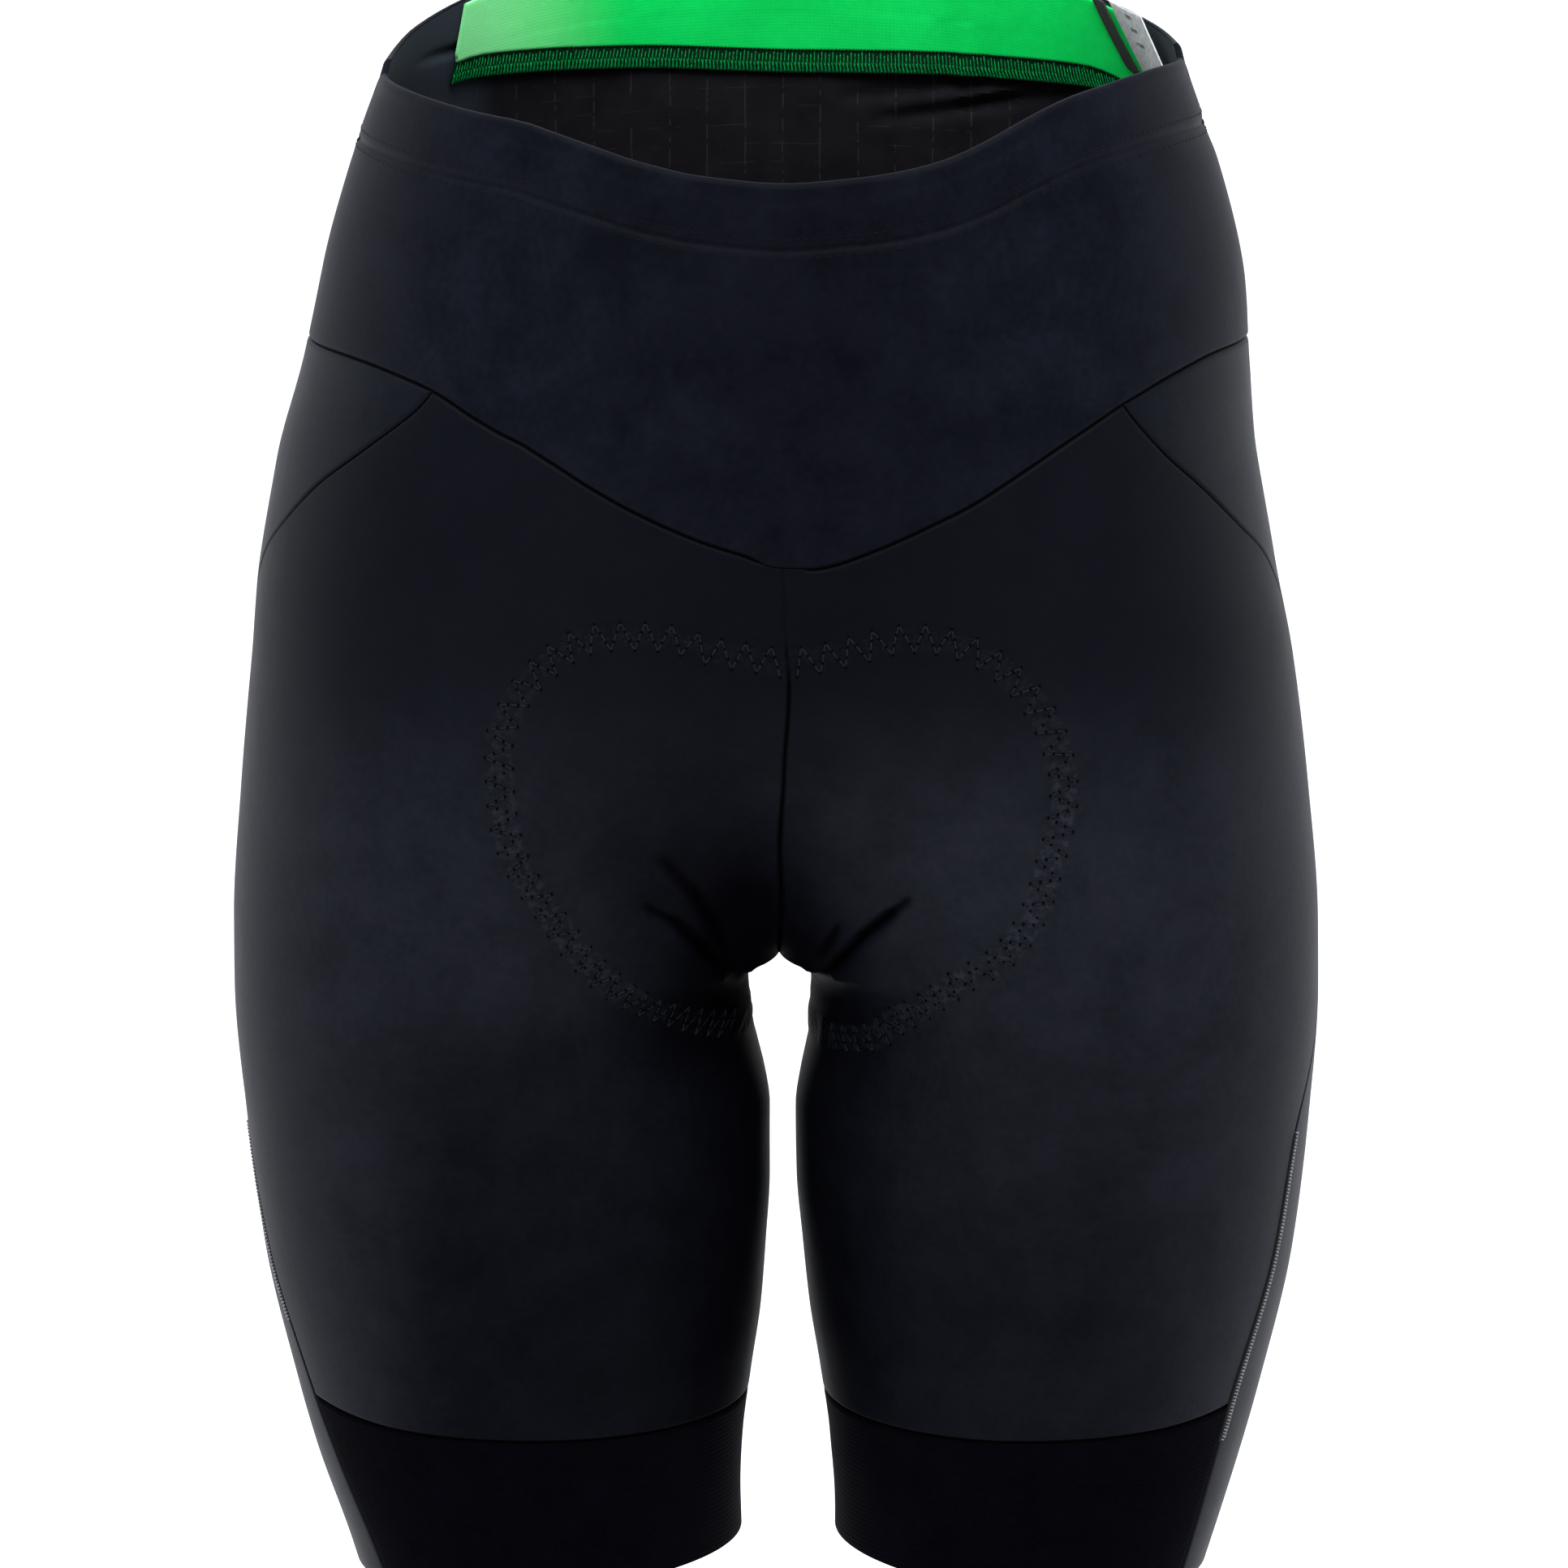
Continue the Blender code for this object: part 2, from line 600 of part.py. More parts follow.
def leg_panels(garment, half, letter):
    top, band, foot = (garment.line[name] for name in ("yoke_seam", "band_seam", "hem"))
    first, second = FRONT_COLUMNS, FRONT_COLUMNS + SIDE_COLUMNS
    front_cloth = cloth_material("front_leg_" + letter, NAVY, 0.55)
    back_cloth = cloth_material("back_leg_" + letter, NAVY, 0.55)
    side_cloth = cloth_material("side_leg_" + letter, SIDE_BLUE, 0.5)
    band_cloth = cloth_material("band_" + letter, BAND_BROWN, 0.8)
    front = garment.stations(half, range(first + 1))
    side = garment.stations(half, range(first, second + 1))
    back = garment.stations(half, range(second, garment.last + 1))
    add_panel(garment, "front_leg_" + letter, front, top, band, front_cloth)
    add_panel(garment, "side_leg_" + letter, side, top, foot, side_cloth)
    add_panel(garment, "back_leg_" + letter, back, top, band, back_cloth)
    loop = list(range(first, -1, -1)) + list(range(garment.last - 1, second - 1, -1))
    add_panel(garment, "band_" + letter, garment.stations(half, loop), band, foot, band_cloth)


def sample(grid, rows, columns):
    """The grid at whole or part rows, and at the columns given for each of those rows."""
    down = np.arange(grid.shape[0], dtype=float)
    across = np.arange(grid.shape[1], dtype=float)
    by_row = np.stack([
        np.stack([np.interp(rows, down, grid[:, c, k]) for k in range(3)], axis=1)
        for c in range(grid.shape[1])
    ], axis=1)
    return np.stack([
        np.stack([np.interp(places, across, line[:, k]) for k in range(3)], axis=1)
        for line, places in zip(by_row, columns)
    ])


def whole_between(first, last):
    """first, last and the whole numbers between them."""
    return [first] + [float(k) for k in range(math.floor(first) + 1, math.ceil(last))] + [last]


def inner_back(garment):
    """Points and outward directions across the back, and the column at each distance across."""
    first = FRONT_COLUMNS
    wide = garment.stations(1, range(first, garment.last)) + garment.stations(
        0, range(garment.last, first - 1, -1)
    )
    points, normals, _ = garment.pick(wide, 0, garment.line["facing_foot"])
    behind = [k for k in range(points.shape[1]) if points[2, k, 1] > 0]
    points, normals = points[:, behind], normals[:, behind]
    index = np.arange(len(behind), dtype=float)
    return points, normals, lambda x: np.interp(x, points[2, :, 0], index)


def lay(name, back, stops, columns, near, thick, cloth):
    """A sheet that follows the inner face of the back."""
    place, way = sample(back[0], stops, columns), sample(back[1], stops, columns)
    way /= np.linalg.norm(way, axis=-1, keepdims=True)
    add_piece(name, place - near * way, place - (near + thick) * way, cloth)


def facing(garment):
    back = inner_back(garment)
    cloth = cloth_material("facing", GREEN, 0.6)
    stops = whole_between(0.1, float(garment.line["facing_foot"]))
    columns = [whole_between(*back[2](FACING_ENDS))] * len(stops)
    lay("facing", back, stops, columns, WALL + LAY_GAP, FACING_WALL, cloth)


def label_and_strip(garment):
    back = inner_back(garment)
    near = WALL + FACING_WALL + 2 * LAY_GAP
    for name, spec, colour in (("label", LABEL, LABEL_GREY), ("label_strip", LABEL_STRIP, STRIP_BLACK)):
        cloth = cloth_material(name, colour, 0.7)
        down, over = spec["cells"]
        top, foot = np.array(back[2](spec["top"])), np.array(back[2](spec["foot"]))
        ends = [top + (foot - top) * k / down for k in range(down + 1)]
        columns = [np.linspace(first, last, over + 1) for first, last in ends]
        lay(name, back, np.linspace(*spec["rows"], down + 1), columns, near, LABEL_WALL, cloth)


def main():
    for thing in list(bpy.data.objects):
        bpy.data.objects.remove(thing, do_unlink=True)
    garment = Garment()
    yoke_front(garment)
    yoke_back(garment)
    leg_panels(garment, 0, "l")
    leg_panels(garment, 1, "r")
    facing(garment)
    label_and_strip(garment)


main()
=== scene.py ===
"""Looks of the cycling shorts: fine cloth shells on the frame, threads, materials, light, camera."""

import math

import bpy
import numpy as np
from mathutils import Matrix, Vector


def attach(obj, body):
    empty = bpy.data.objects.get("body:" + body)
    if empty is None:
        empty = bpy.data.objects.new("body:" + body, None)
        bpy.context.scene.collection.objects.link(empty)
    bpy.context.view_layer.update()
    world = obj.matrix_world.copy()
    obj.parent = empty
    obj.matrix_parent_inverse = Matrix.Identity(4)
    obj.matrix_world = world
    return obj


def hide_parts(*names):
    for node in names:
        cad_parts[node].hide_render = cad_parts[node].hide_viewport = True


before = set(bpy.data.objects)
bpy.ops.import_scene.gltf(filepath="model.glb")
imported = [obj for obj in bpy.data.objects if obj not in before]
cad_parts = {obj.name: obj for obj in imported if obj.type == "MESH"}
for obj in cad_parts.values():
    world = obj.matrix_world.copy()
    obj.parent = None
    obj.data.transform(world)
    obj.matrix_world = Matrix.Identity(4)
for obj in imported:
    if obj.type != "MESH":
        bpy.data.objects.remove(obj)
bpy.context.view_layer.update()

# ---------------------------------------------------------------------------
# Sizes and tables of the cut, in millimetres, as in the part's source; only the facing ends
# 2.4 mm sooner here, behind the label
# ---------------------------------------------------------------------------
MM = 0.001
WALL = 1.6
HALF_GAP = 0.15
LAY_GAP = 0.4
FACING_WALL = 1.2
CROTCH_Z = -283.0
CROTCH_ROUND = 11.5
CORNER_POWER = 2.2
BRIDGE_POWER = 3.0
FRONT_TURN_Z = -170.0
BACK_TURN_Z = -150.0
FRONT_TURN_POWER = 2.0
BACK_TURN_POWER = 2.2
CROWN = 3.5
CROWN_REACH = 85.0
CENTRE_ROUND = 12.0

SECTIONS = [
    ("z", "side", "front", "back", "fullest", "lean"),
    (60.0, 119.0, 90.0, 89.0, 18.0, 0.0),
    (40.0, 122.0, 92.0, 90.0, 20.0, 0.0),
    (5.0, 128.4, 95.0, 92.0, 20.0, 0.0),
    (-26.0, 140.0, 98.0, 95.0, 24.0, 0.0),
    (-58.0, 148.5, 101.0, 101.0, 30.0, -0.3),
    (-89.0, 153.0, 104.0, 108.0, 38.0, -2.5),
    (-121.0, 158.9, 106.0, 115.0, 48.0, -5.4),
    (-153.0, 164.8, 107.0, 121.0, 60.0, -5.2),
    (-185.0, 169.5, 107.0, 124.0, 72.0, -3.6),
    (-228.0, 174.3, 104.0, 122.0, 84.0, -3.1),
    (-271.0, 177.7, 99.0, 112.0, 90.0, -2.7),
    (-293.0, 177.9, 97.0, 104.0, 93.9, -2.5),
    (-337.0, 175.0, 92.0, 93.0, 89.6, -2.0),
    (-381.0, 170.0, 87.0, 85.0, 87.9, -1.7),
    (-425.0, 160.2, 78.0, 77.0, 85.7, -1.4),
    (-448.0, 154.2, 73.0, 73.0, 84.3, -1.4),
    (-482.0, 143.5, 68.0, 68.0, 79.3, -0.8),
    (-500.0, 138.0, 66.0, 66.0, 76.0, -0.8),
]
LEG_GAP = [
    ("z", "half_gap"),
    (-293.0, 11.5),
    (-304.0, 10.1),
    (-315.0, 8.3),
    (-326.0, 5.9),
    (-337.0, 4.4),
    (-359.0, 4.4),
    (-381.0, 5.8),
    (-403.0, 7.7),
    (-425.0, 11.2),
    (-448.0, 14.5),
    (-470.0, 15.8),
    (-500.0, 15.0),
]
CENTRE_SHIFT = [
    ("z", "shift"),
    (-60.0, 0.0),
    (-110.0, 3.5),
    (-143.0, 4.8),
    (-163.0, 5.2),
    (-176.0, 5.4),
    (-189.0, 4.8),
    (-201.0, 3.7),
    (-214.0, 3.0),
    (-235.0, 1.7),
    (-254.0, 2.0),
    (-283.0, 1.0),
    (-324.0, 1.7),
    (-346.0, 1.5),
    (-381.0, 1.8),
    (-421.0, 2.2),
    (-448.0, 2.5),
    (-500.0, 2.4),
]
WAIST_LIFT = [
    ("turn", "l", "r"),
    (-1.0, 0.0, 0.0),
    (-0.9, 0.3, 0.6),
    (-0.84, 1.0, 1.8),
    (-0.74, 3.0, 3.4),
    (-0.63, 5.0, 2.0),
    (-0.5, 5.8, -1.0),
    (-0.37, 7.2, -0.4),
    (-0.25, 7.7, 0.9),
    (-0.1, 7.6, 2.5),
    (0.0, 7.4, 2.8),
    (0.1, 7.1, 3.1),
    (0.25, 5.2, 3.9),
    (0.5, 2.0, 2.4),
    (0.8, 0.5, 0.5),
    (1.0, 0.0, 0.0),
]
YOKE_LIFT = [
    ("turn", "l", "r"),
    (-1.0, 1.0, 1.0),
    (-0.98, -1.2, 2.9),
    (-0.94, -2.2, 3.4),
    (-0.90, -2.5, 4.4),
    (-0.85, -2.7, 6.0),
    (-0.80, -2.4, 7.5),
    (-0.75, -2.6, 8.4),
    (-0.70, -2.6, 7.9),
    (-0.64, -2.7, 5.4),
    (-0.58, -2.6, 3.9),
    (-0.50, -1.0, 3.7),
    (-0.42, 0.8, 3.1),
    (-0.28, 1.7, 1.4),
    (-0.12, 1.2, 0.6),
    (0.0, 0.0, 0.0),
    (1.0, 0.0, 0.0),
]
AROUND = (-1.0, -0.8, -0.5, -0.25, 0.0, 0.25, 0.5, 0.8, 1.0)
LINES = {
    "waist_edge": (-24.9, -20.5, -4.0, -0.5, 0.0, 11.0, 24.0, 34.0, 37.0),
    "casing_line": (-43.4, -39.0, -22.5, -19.0, -18.5, -7.5, 5.5, 15.5, 18.5),
    "casing_foot": (-45.4, -41.0, -24.5, -21.0, -20.5, -9.5, 3.5, 13.5, 16.5),
    "facing_foot": (-66.0, -60.0, -42.0, -35.0, -30.0, -17.0, -4.0, -2.8, -3.6),
    "yoke_seam": (-143.5, -126.0, -92.5, -83.0, -81.3, -80.0, -76.0, -71.0, -70.0),
    "crotch": (-283.0, -264.0, -243.0, -229.0, -223.0, -228.0, -240.0, -262.0, -283.0),
    "band_seam": (-432.5, -432.0, -430.0, -426.0, -422.5, -423.5, -427.0, -431.0, -432.5),
    "hem": (-480.0, -482.5, -486.0, -488.0, -488.0, -487.0, -484.0, -481.0, -480.0),
}
FINE = 5  # each cell of the part's grid is cut this many times each way
ROWS_BETWEEN = tuple(FINE * n for n in (2, 1, 2, 5, 11, 10, 4))
SIDE_PANEL = [
    ("z", "front_l", "front_r", "behind"),
    (40.0, 55.0, 55.0, 62.0),
    (-60.0, 54.0, 54.0, 58.0),
    (-92.0, 51.0, 51.0, 55.0),
    (-109.0, 45.4, 43.4, 52.0),
    (-123.5, 37.4, 33.6, 50.0),
    (-136.0, 30.0, 25.5, 48.0),
    (-150.0, 19.0, 15.0, 46.0),
    (-175.0, 6.0, 5.0, 43.0),
    (-230.0, 3.0, 2.0, 36.0),
    (-290.0, 9.0, 4.0, 29.0),
    (-341.0, 28.4, 12.0, 24.0),
    (-375.0, 31.6, 20.0, 22.0),
    (-407.0, 36.4, 28.0, 22.0),
    (-424.0, 38.2, 31.0, 22.0),
    (-452.0, 39.3, 36.4, 22.0),
    (-500.0, 39.5, 43.0, 22.0),
]
FRONT_COLUMNS, SIDE_COLUMNS, BACK_COLUMNS = 14 * FINE, 7 * FINE, 13 * FINE
PAD_CENTRE_Z = -225.0
PAD_OUTLINE = [
    ("turn", "l", "r"),
    (0.0, 56.5, 56.5),
    (12.0, 60.0, 60.0),
    (22.0, 66.0, 65.0),
    (30.0, 73.5, 73.6),
    (38.0, 80.0, 81.6),
    (47.0, 85.4, 90.8),
    (55.0, 88.4, 95.2),
    (64.0, 90.8, 98.2),
    (70.0, 92.0, 98.4),
    (78.0, 92.8, 95.0),
    (88.0, 91.8, 91.2),
    (100.0, 89.2, 86.6),
    (111.0, 88.2, 82.4),
    (120.0, 86.6, 80.8),
    (135.0, 81.0, 79.6),
    (150.0, 82.0, 79.8),
    (160.0, 86.0, 81.2),
    (180.0, 87.0, 87.0),
]
PAD_RISE = 1.0
PAD_SHOULDER = 9.0
PAD_BAND = 8.5
CASING_RISE = 0.7
FACING_ENDS = (-106.0, 124.6)
LABEL = {"top": (115.5, 126.3), "foot": (123.4, 131.3), "rows": (-0.15, 2.4), "cells": (20, 16)}
LABEL_STRIP = {"top": (109.5, 113.5), "foot": (118.4, 122.4), "rows": (-0.15, 2.6), "cells": (20, 8)}

# The groove of a seam: how deep, how wide, and where extra lines of points follow it.
SEAM_DEPTH = 0.9
SEAM_WIDTH = 0.75
SEAM_LINES = (0.35, 0.7, 1.1, 1.7)
SEAM_CELL = 2.6

# Creases: which face, ends as x and z, depth (a ridge is negative) and half breadth.
CREASES = [
    ("face", "x1", "z1", "x2", "z2", "depth", "breadth"),
    ("front", -43.5, -252.5, -32.5, -260.0, 1.6, 1.4),
    ("front", -34.0, -259.0, -25.0, -270.5, 3.0, 1.8),
    ("front", -26.0, -269.0, -14.5, -285.5, 3.4, 1.7),
    ("front", -38.0, -237.0, -27.5, -250.5, 1.5, 2.2),
    ("front", -28.5, -249.0, -21.0, -264.0, 2.4, 2.0),
    ("front", -21.5, -262.0, -15.5, -281.0, 2.6, 1.8),
    ("front", -32.0, -251.5, -23.5, -265.5, -0.8, 2.0),
    ("front", -36.0, -266.0, -24.0, -277.0, -0.7, 2.4),
    ("front", 39.0, -250.5, 32.0, -257.5, 1.8, 1.5),
    ("front", 33.5, -256.0, 23.5, -266.5, 3.2, 2.0),
    ("front", 24.5, -265.5, 13.0, -282.0, 3.2, 1.8),
    ("front", 36.0, -261.0, 24.0, -273.0, -0.8, 2.4),
    ("front", 17.0, -263.0, 12.0, -274.0, 1.6, 1.6),
    ("back", -48.0, -262.0, -18.0, -289.0, 2.2, 3.4),
    ("back", 44.0, -264.0, 16.0, -289.0, 2.2, 3.4),
    ("back", 58.0, -272.0, 30.0, -286.0, 1.0, 5.0),
    ("back", -60.0, -274.0, -32.0, -286.0, 1.0, 5.0),
    ("back", 32.0, -19.5, 78.0, -12.5, -1.5, 2.6),
    ("back", 60.0, -15.0, 110.0, -4.0, -1.9, 2.4),
    ("back", 22.0, -11.5, 72.0, -5.5, -1.2, 2.6),
    ("back", 58.0, -7.5, 100.0, -1.5, -1.2, 2.6),
    ("back", 36.0, -15.0, 106.0, -3.5, 1.1, 2.4),
    ("back", -117.0, 5.0, -104.0, 7.5, -2.2, 1.6),
]


def column(table, name):
    place = table[0].index(name)
    return np.array([row[place] for row in table[1:]], float)


def smooth_through(at, stations, values):
    """A curve through the values that never overshoots between two of them."""
    x = np.asarray(stations, float)
    y = np.asarray(values, float)
    if x[0] > x[-1]:
        x, y = x[::-1], y[::-1]
    step = np.diff(x)
    slope = np.diff(y) / step
    tangent = np.zeros(len(x))
    same = slope[:-1] * slope[1:] > 0
    w1 = 2 * step[1:] + step[:-1]
    w2 = step[1:] + 2 * step[:-1]
    a = np.where(same, slope[:-1], 1.0)
    b = np.where(same, slope[1:], 1.0)
    tangent[1:-1] = np.where(same, (w1 + w2) / (w1 / a + w2 / b), 0.0)
    tangent[0], tangent[-1] = slope[0], slope[-1]
    at = np.clip(np.asarray(at, float), x[0], x[-1])
    k = np.clip(np.searchsorted(x, at, side="right") - 1, 0, len(step) - 1)
    t = (at - x[k]) / step[k]
    rise = step[k] * ((t**3 - 2 * t**2 + t) * tangent[k] + (t**3 - t**2) * tangent[k + 1])
    return y[k] * (2 * t**3 - 3 * t**2 + 1) + y[k + 1] * (3 * t**2 - 2 * t**3) + rise


class Profiles:
    """Every named column of a table, ready to be read at any height or angle."""

    def __init__(self, table, low, high, count):
        self.at = np.linspace(low, high, count)
        keys = column(table, table[0][0])
        self.values = {
            name: smooth_through(self.at, keys, column(table, name)) for name in table[0][1:]
        }

    def read(self, name, at):
        return np.interp(at, self.at, self.values[name])


SECTION = Profiles(SECTIONS, -500.0, 60.0, 5601)
GAP = Profiles(LEG_GAP, -500.0, -293.0, 2071)
SHIFT = Profiles(CENTRE_SHIFT, -500.0, -60.0, 4401)
LIFTS = [Profiles(table, -1.0, 1.0, 1601) for table in (WAIST_LIFT, YOKE_LIFT)]
EDGES = Profiles(SIDE_PANEL, -500.0, 40.0, 5401)
PAD = Profiles(PAD_OUTLINE, 0.0, 180.0, 1801)


def ease(t):
    t = np.clip(t, 0.0, 1.0)
    return t * t * (3 - 2 * t)


def half_gap(z):
    below = CROTCH_Z - np.asarray(z, float)
    arch = np.sqrt(np.clip(CROTCH_ROUND**2 - np.clip(CROTCH_ROUND - below, 0, None) ** 2, 0, None))
    return np.where(below <= 0, 0.0, np.where(below < CROTCH_ROUND, arch, GAP.read("half_gap", z)))


def depth(x, z, face):
    """Distance from the side plane to the cloth at x, on the front or the back."""
    side, full, middle = (SECTION.read(name, z) for name in ("side", face, "fullest"))
    turn_z, power = {
        "front": (FRONT_TURN_Z, FRONT_TURN_POWER),
        "back": (BACK_TURN_Z, BACK_TURN_POWER),
    }[face]
    t = np.clip((turn_z - z) / (turn_z - CROTCH_Z), 0.0, 1.0)
    bridge = full * (1 - t**power) ** (1 / power)
    gap = half_gap(z)
    out = np.clip((x - middle) / (side - middle), 0.0, 1.0)
    outer = full * (1 - out**CORNER_POWER) ** (1 / CORNER_POWER)
    inward = np.clip((x - gap) / (middle - gap), 0.0, 1.0)
    core = np.clip(full**BRIDGE_POWER - bridge**BRIDGE_POWER, 0, None)
    core = core * np.sqrt(1 - (1 - inward) ** 2) ** BRIDGE_POWER
    inner = (core + bridge**BRIDGE_POWER) ** (1 / BRIDGE_POWER)
    crown = CROWN * ease((z + 250.0) / 80.0) * (1 - (np.clip(x, 0, CROWN_REACH) / CROWN_REACH) ** 2) ** 2
    return np.where(x > middle, outer, inner) + crown * (1 - out)


def inside(x, y, z):
    reach = np.where(y < 0, depth(x, z, "front"), depth(x, z, "back"))
    return (x >= half_gap(z)) & (x <= SECTION.read("side", z)) & (np.abs(y) <= reach)


TURNS = np.linspace(-1, 1, 1601)


def line_height(dense, x, y, inner_x, outer_x):
    soft = math.sqrt((outer_x - inner_x) ** 2 + CENTRE_ROUND**2) - CENTRE_ROUND
    along = np.sqrt(np.clip(x - inner_x, 0, None) ** 2 + CENTRE_ROUND**2) - CENTRE_ROUND
    turn = 1 - np.arcsin(np.clip(along / soft, 0.0, 1.0)) * 2 / math.pi
    return np.interp(np.where(y < 0, -turn, turn), TURNS, dense)


def even_heights(top, foot, count, reach):
    z = foot + (top - foot) * (1 - np.cos(np.linspace(0, math.pi / 2, 1601)))
    if reach(np.array([top]))[0] < reach(np.array([foot]))[0]:
        z = top + foot - z[::-1]
    z = np.sort(z)[::-1]
    travelled = np.concatenate([[0], np.cumsum(np.hypot(np.diff(z), np.diff(reach(z))))])
    return np.interp(np.linspace(0, travelled[-1], count + 1), travelled, z)


def centre_front(z):
    return depth(np.zeros_like(z), z, "front")


def centre_back(z):
    return depth(np.zeros_like(z), z, "back")


def all_rows():
    """Heights at the stations of each row, its shares of the two lifts, and the row of each line."""
    names = list(LINES)
    rows = [np.array(LINES[names[0]])]
    shares = [(1.0, 0.0)]
    index = {names[0]: 0}
    for upper, lower, count in zip(names, names[1:], ROWS_BETWEEN):
        a, b = np.array(LINES[upper]), np.array(LINES[lower])
        part = [a + (b - a) * k / count for k in range(count + 1)]
        front = back = None
        if lower == "crotch":
            front = even_heights(a[0], b[0], count, centre_front)
            back = even_heights(a[-1], b[-1], count, centre_back)
        elif upper == "crotch":
            front = back = even_heights(a[0], b[0], count, half_gap)
        for k, row in enumerate(part):
            if front is not None:
                row[1] += 0.5 * (front[k] - row[0])
                row[-2] += 0.5 * (back[k] - row[-1])
                row[0], row[-1] = front[k], back[k]
        rows += part[1:]
        t = np.arange(1, count + 1) / count
        waist = {"casing_line": 1 + 0 * t, "casing_foot": 1 + 0 * t, "facing_foot": 1 - t}
        yoke = {"yoke_seam": t, "crotch": 1 - t}
        shares += list(zip(waist.get(lower, 0 * t), yoke.get(lower, 0 * t)))
        index[lower] = len(rows) - 1
    return rows, shares, index


def ring(heights, lift):
    """Points round one half of a row, from the centre front or inseam to the centre back."""
    dense = smooth_through(TURNS, AROUND, heights) + lift
    inner_z = np.array([dense[0], dense[-1]])
    outer_x = float(SECTION.read("side", heights[4]))
    axis_x = float(SECTION.read("fullest", 0.5 * (heights[4] + heights[2])))
    inner_x = float(half_gap(heights[0]))
    start, end = -math.pi, math.pi
    if inner_z[0] > CROTCH_Z:
        start = -math.pi + math.atan2(float(centre_front(inner_z)[0]), axis_x)
        end = math.pi - math.atan2(float(centre_back(inner_z)[1]), axis_x)
    turn = np.concatenate([np.linspace(start, 0, 260), np.linspace(0, end, 260)[1:]])
    across, along = np.cos(turn), np.sin(turn)
    near, far = np.zeros_like(turn), np.full_like(turn, 260.0)
    for _ in range(26):
        reach = 0.5 * (near + far)
        x, y = axis_x + reach * across, reach * along
        within = inside(x, y, line_height(dense, x, y, inner_x, outer_x))
        near, far = np.where(within, reach, near), np.where(within, far, reach)
    x, y = axis_x + near * across, near * along
    points = np.stack([x, y, line_height(dense, x, y, inner_x, outer_x)], axis=1)
    if inner_z[0] > CROTCH_Z:
        points[0] = (0.0, -centre_front(inner_z)[0], inner_z[0])
        points[-1] = (0.0, centre_back(inner_z)[1], inner_z[1])
    else:
        points[0] = points[-1] = (inner_x, 0.0, heights[0])
    return points, turn


def travelled_along(points):
    return np.concatenate([[0], np.cumsum(np.linalg.norm(np.diff(points, axis=0), axis=1))])


def spread(points, count):
    travelled = travelled_along(points)
    wanted = np.linspace(0, travelled[-1], count + 1)
    return np.stack([np.interp(wanted, travelled, points[:, k]) for k in range(3)], axis=1)


def split_ring(points, turn, side_z, front_name):
    front_angle = back_angle = 0.0
    front_z = back_z = side_z
    for _ in range(8):
        front_angle = -math.radians(float(EDGES.read(front_name, front_z)))
        back_angle = math.radians(float(EDGES.read("behind", back_z)))
        front_z = np.interp(front_angle, turn, points[:, 2])
        back_z = np.interp(back_angle, turn, points[:, 2])
    first = np.array([np.interp(front_angle, turn, points[:, k]) for k in range(3)])
    second = np.array([np.interp(back_angle, turn, points[:, k]) for k in range(3)])
    a, b = int(np.searchsorted(turn, front_angle)), int(np.searchsorted(turn, back_angle))
    front = spread(np.vstack([points[:a], first]), FRONT_COLUMNS)
    side = spread(np.vstack([first, points[a:b], second]), SIDE_COLUMNS)
    back = spread(np.vstack([second, points[b:]]), BACK_COLUMNS)
    return np.vstack([front, side[1:], back[1:]])


def outward(grids):
    points = np.concatenate([grid.reshape(-1, 3) for grid in grids])
    _, joined = np.unique(np.round(points, 3), axis=0, return_inverse=True)
    joined = joined.reshape(-1)
    total = np.zeros((joined.max() + 1, 3))
    start = 0
    for grid, sign in zip(grids, (1, -1)):
        index = joined[start : start + grid.shape[0] * grid.shape[1]].reshape(grid.shape[:2])
        start += index.size
        down = grid[1:, 1:] - grid[:-1, :-1]
        over = grid[1:, :-1] - grid[:-1, 1:]
        normal = sign * np.cross(over, down)
        low, high = slice(None, -1), slice(1, None)
        for rows, columns in ((low, low), (high, high), (low, high), (high, low)):
            np.add.at(total, index[rows, columns].reshape(-1), normal.reshape(-1, 3))
    total /= np.linalg.norm(total, axis=1, keepdims=True)
    directions = total[joined]
    first = grids[0].shape[0] * grids[0].shape[1]
    return directions[:first].reshape(grids[0].shape), directions[first:].reshape(grids[1].shape)


# ---------------------------------------------------------------------------
# Relief
# ---------------------------------------------------------------------------
def centre_x(z):
    """Where the centre seams lie."""
    return SECTION.read("lean", z) + SHIFT.read("shift", z)


def pad_inset(x, z):
    """How far a place lies inside the stitched outline of the pad, x from the centre seam."""
    up = z - PAD_CENTRE_Z
    turn = np.degrees(np.arctan2(np.abs(x), up))
    reach = np.where(x > 0, PAD.read("l", turn), PAD.read("r", turn))
    return reach - np.hypot(x, up)


def pad_relief(points):
    x = points[..., 0] - centre_x(points[..., 2])
    inset = pad_inset(x, points[..., 2])
    rise = PAD_RISE * ease(inset / PAD_SHOULDER)
    channel = 0.30 * np.exp(-(((inset - PAD_BAND - 1.5) / 1.8) ** 2))
    outer = 0.25 * np.exp(-(((inset + 1.5) / 2.0) ** 2))
    share = ease((20.0 - points[..., 1]) / 20.0)
    lumps = puffs(x, inset, np.arctan2(x, points[..., 2] - PAD_CENTRE_Z))
    return (rise + lumps - channel - outer) * np.maximum(share, 0.8 * (1 - share))


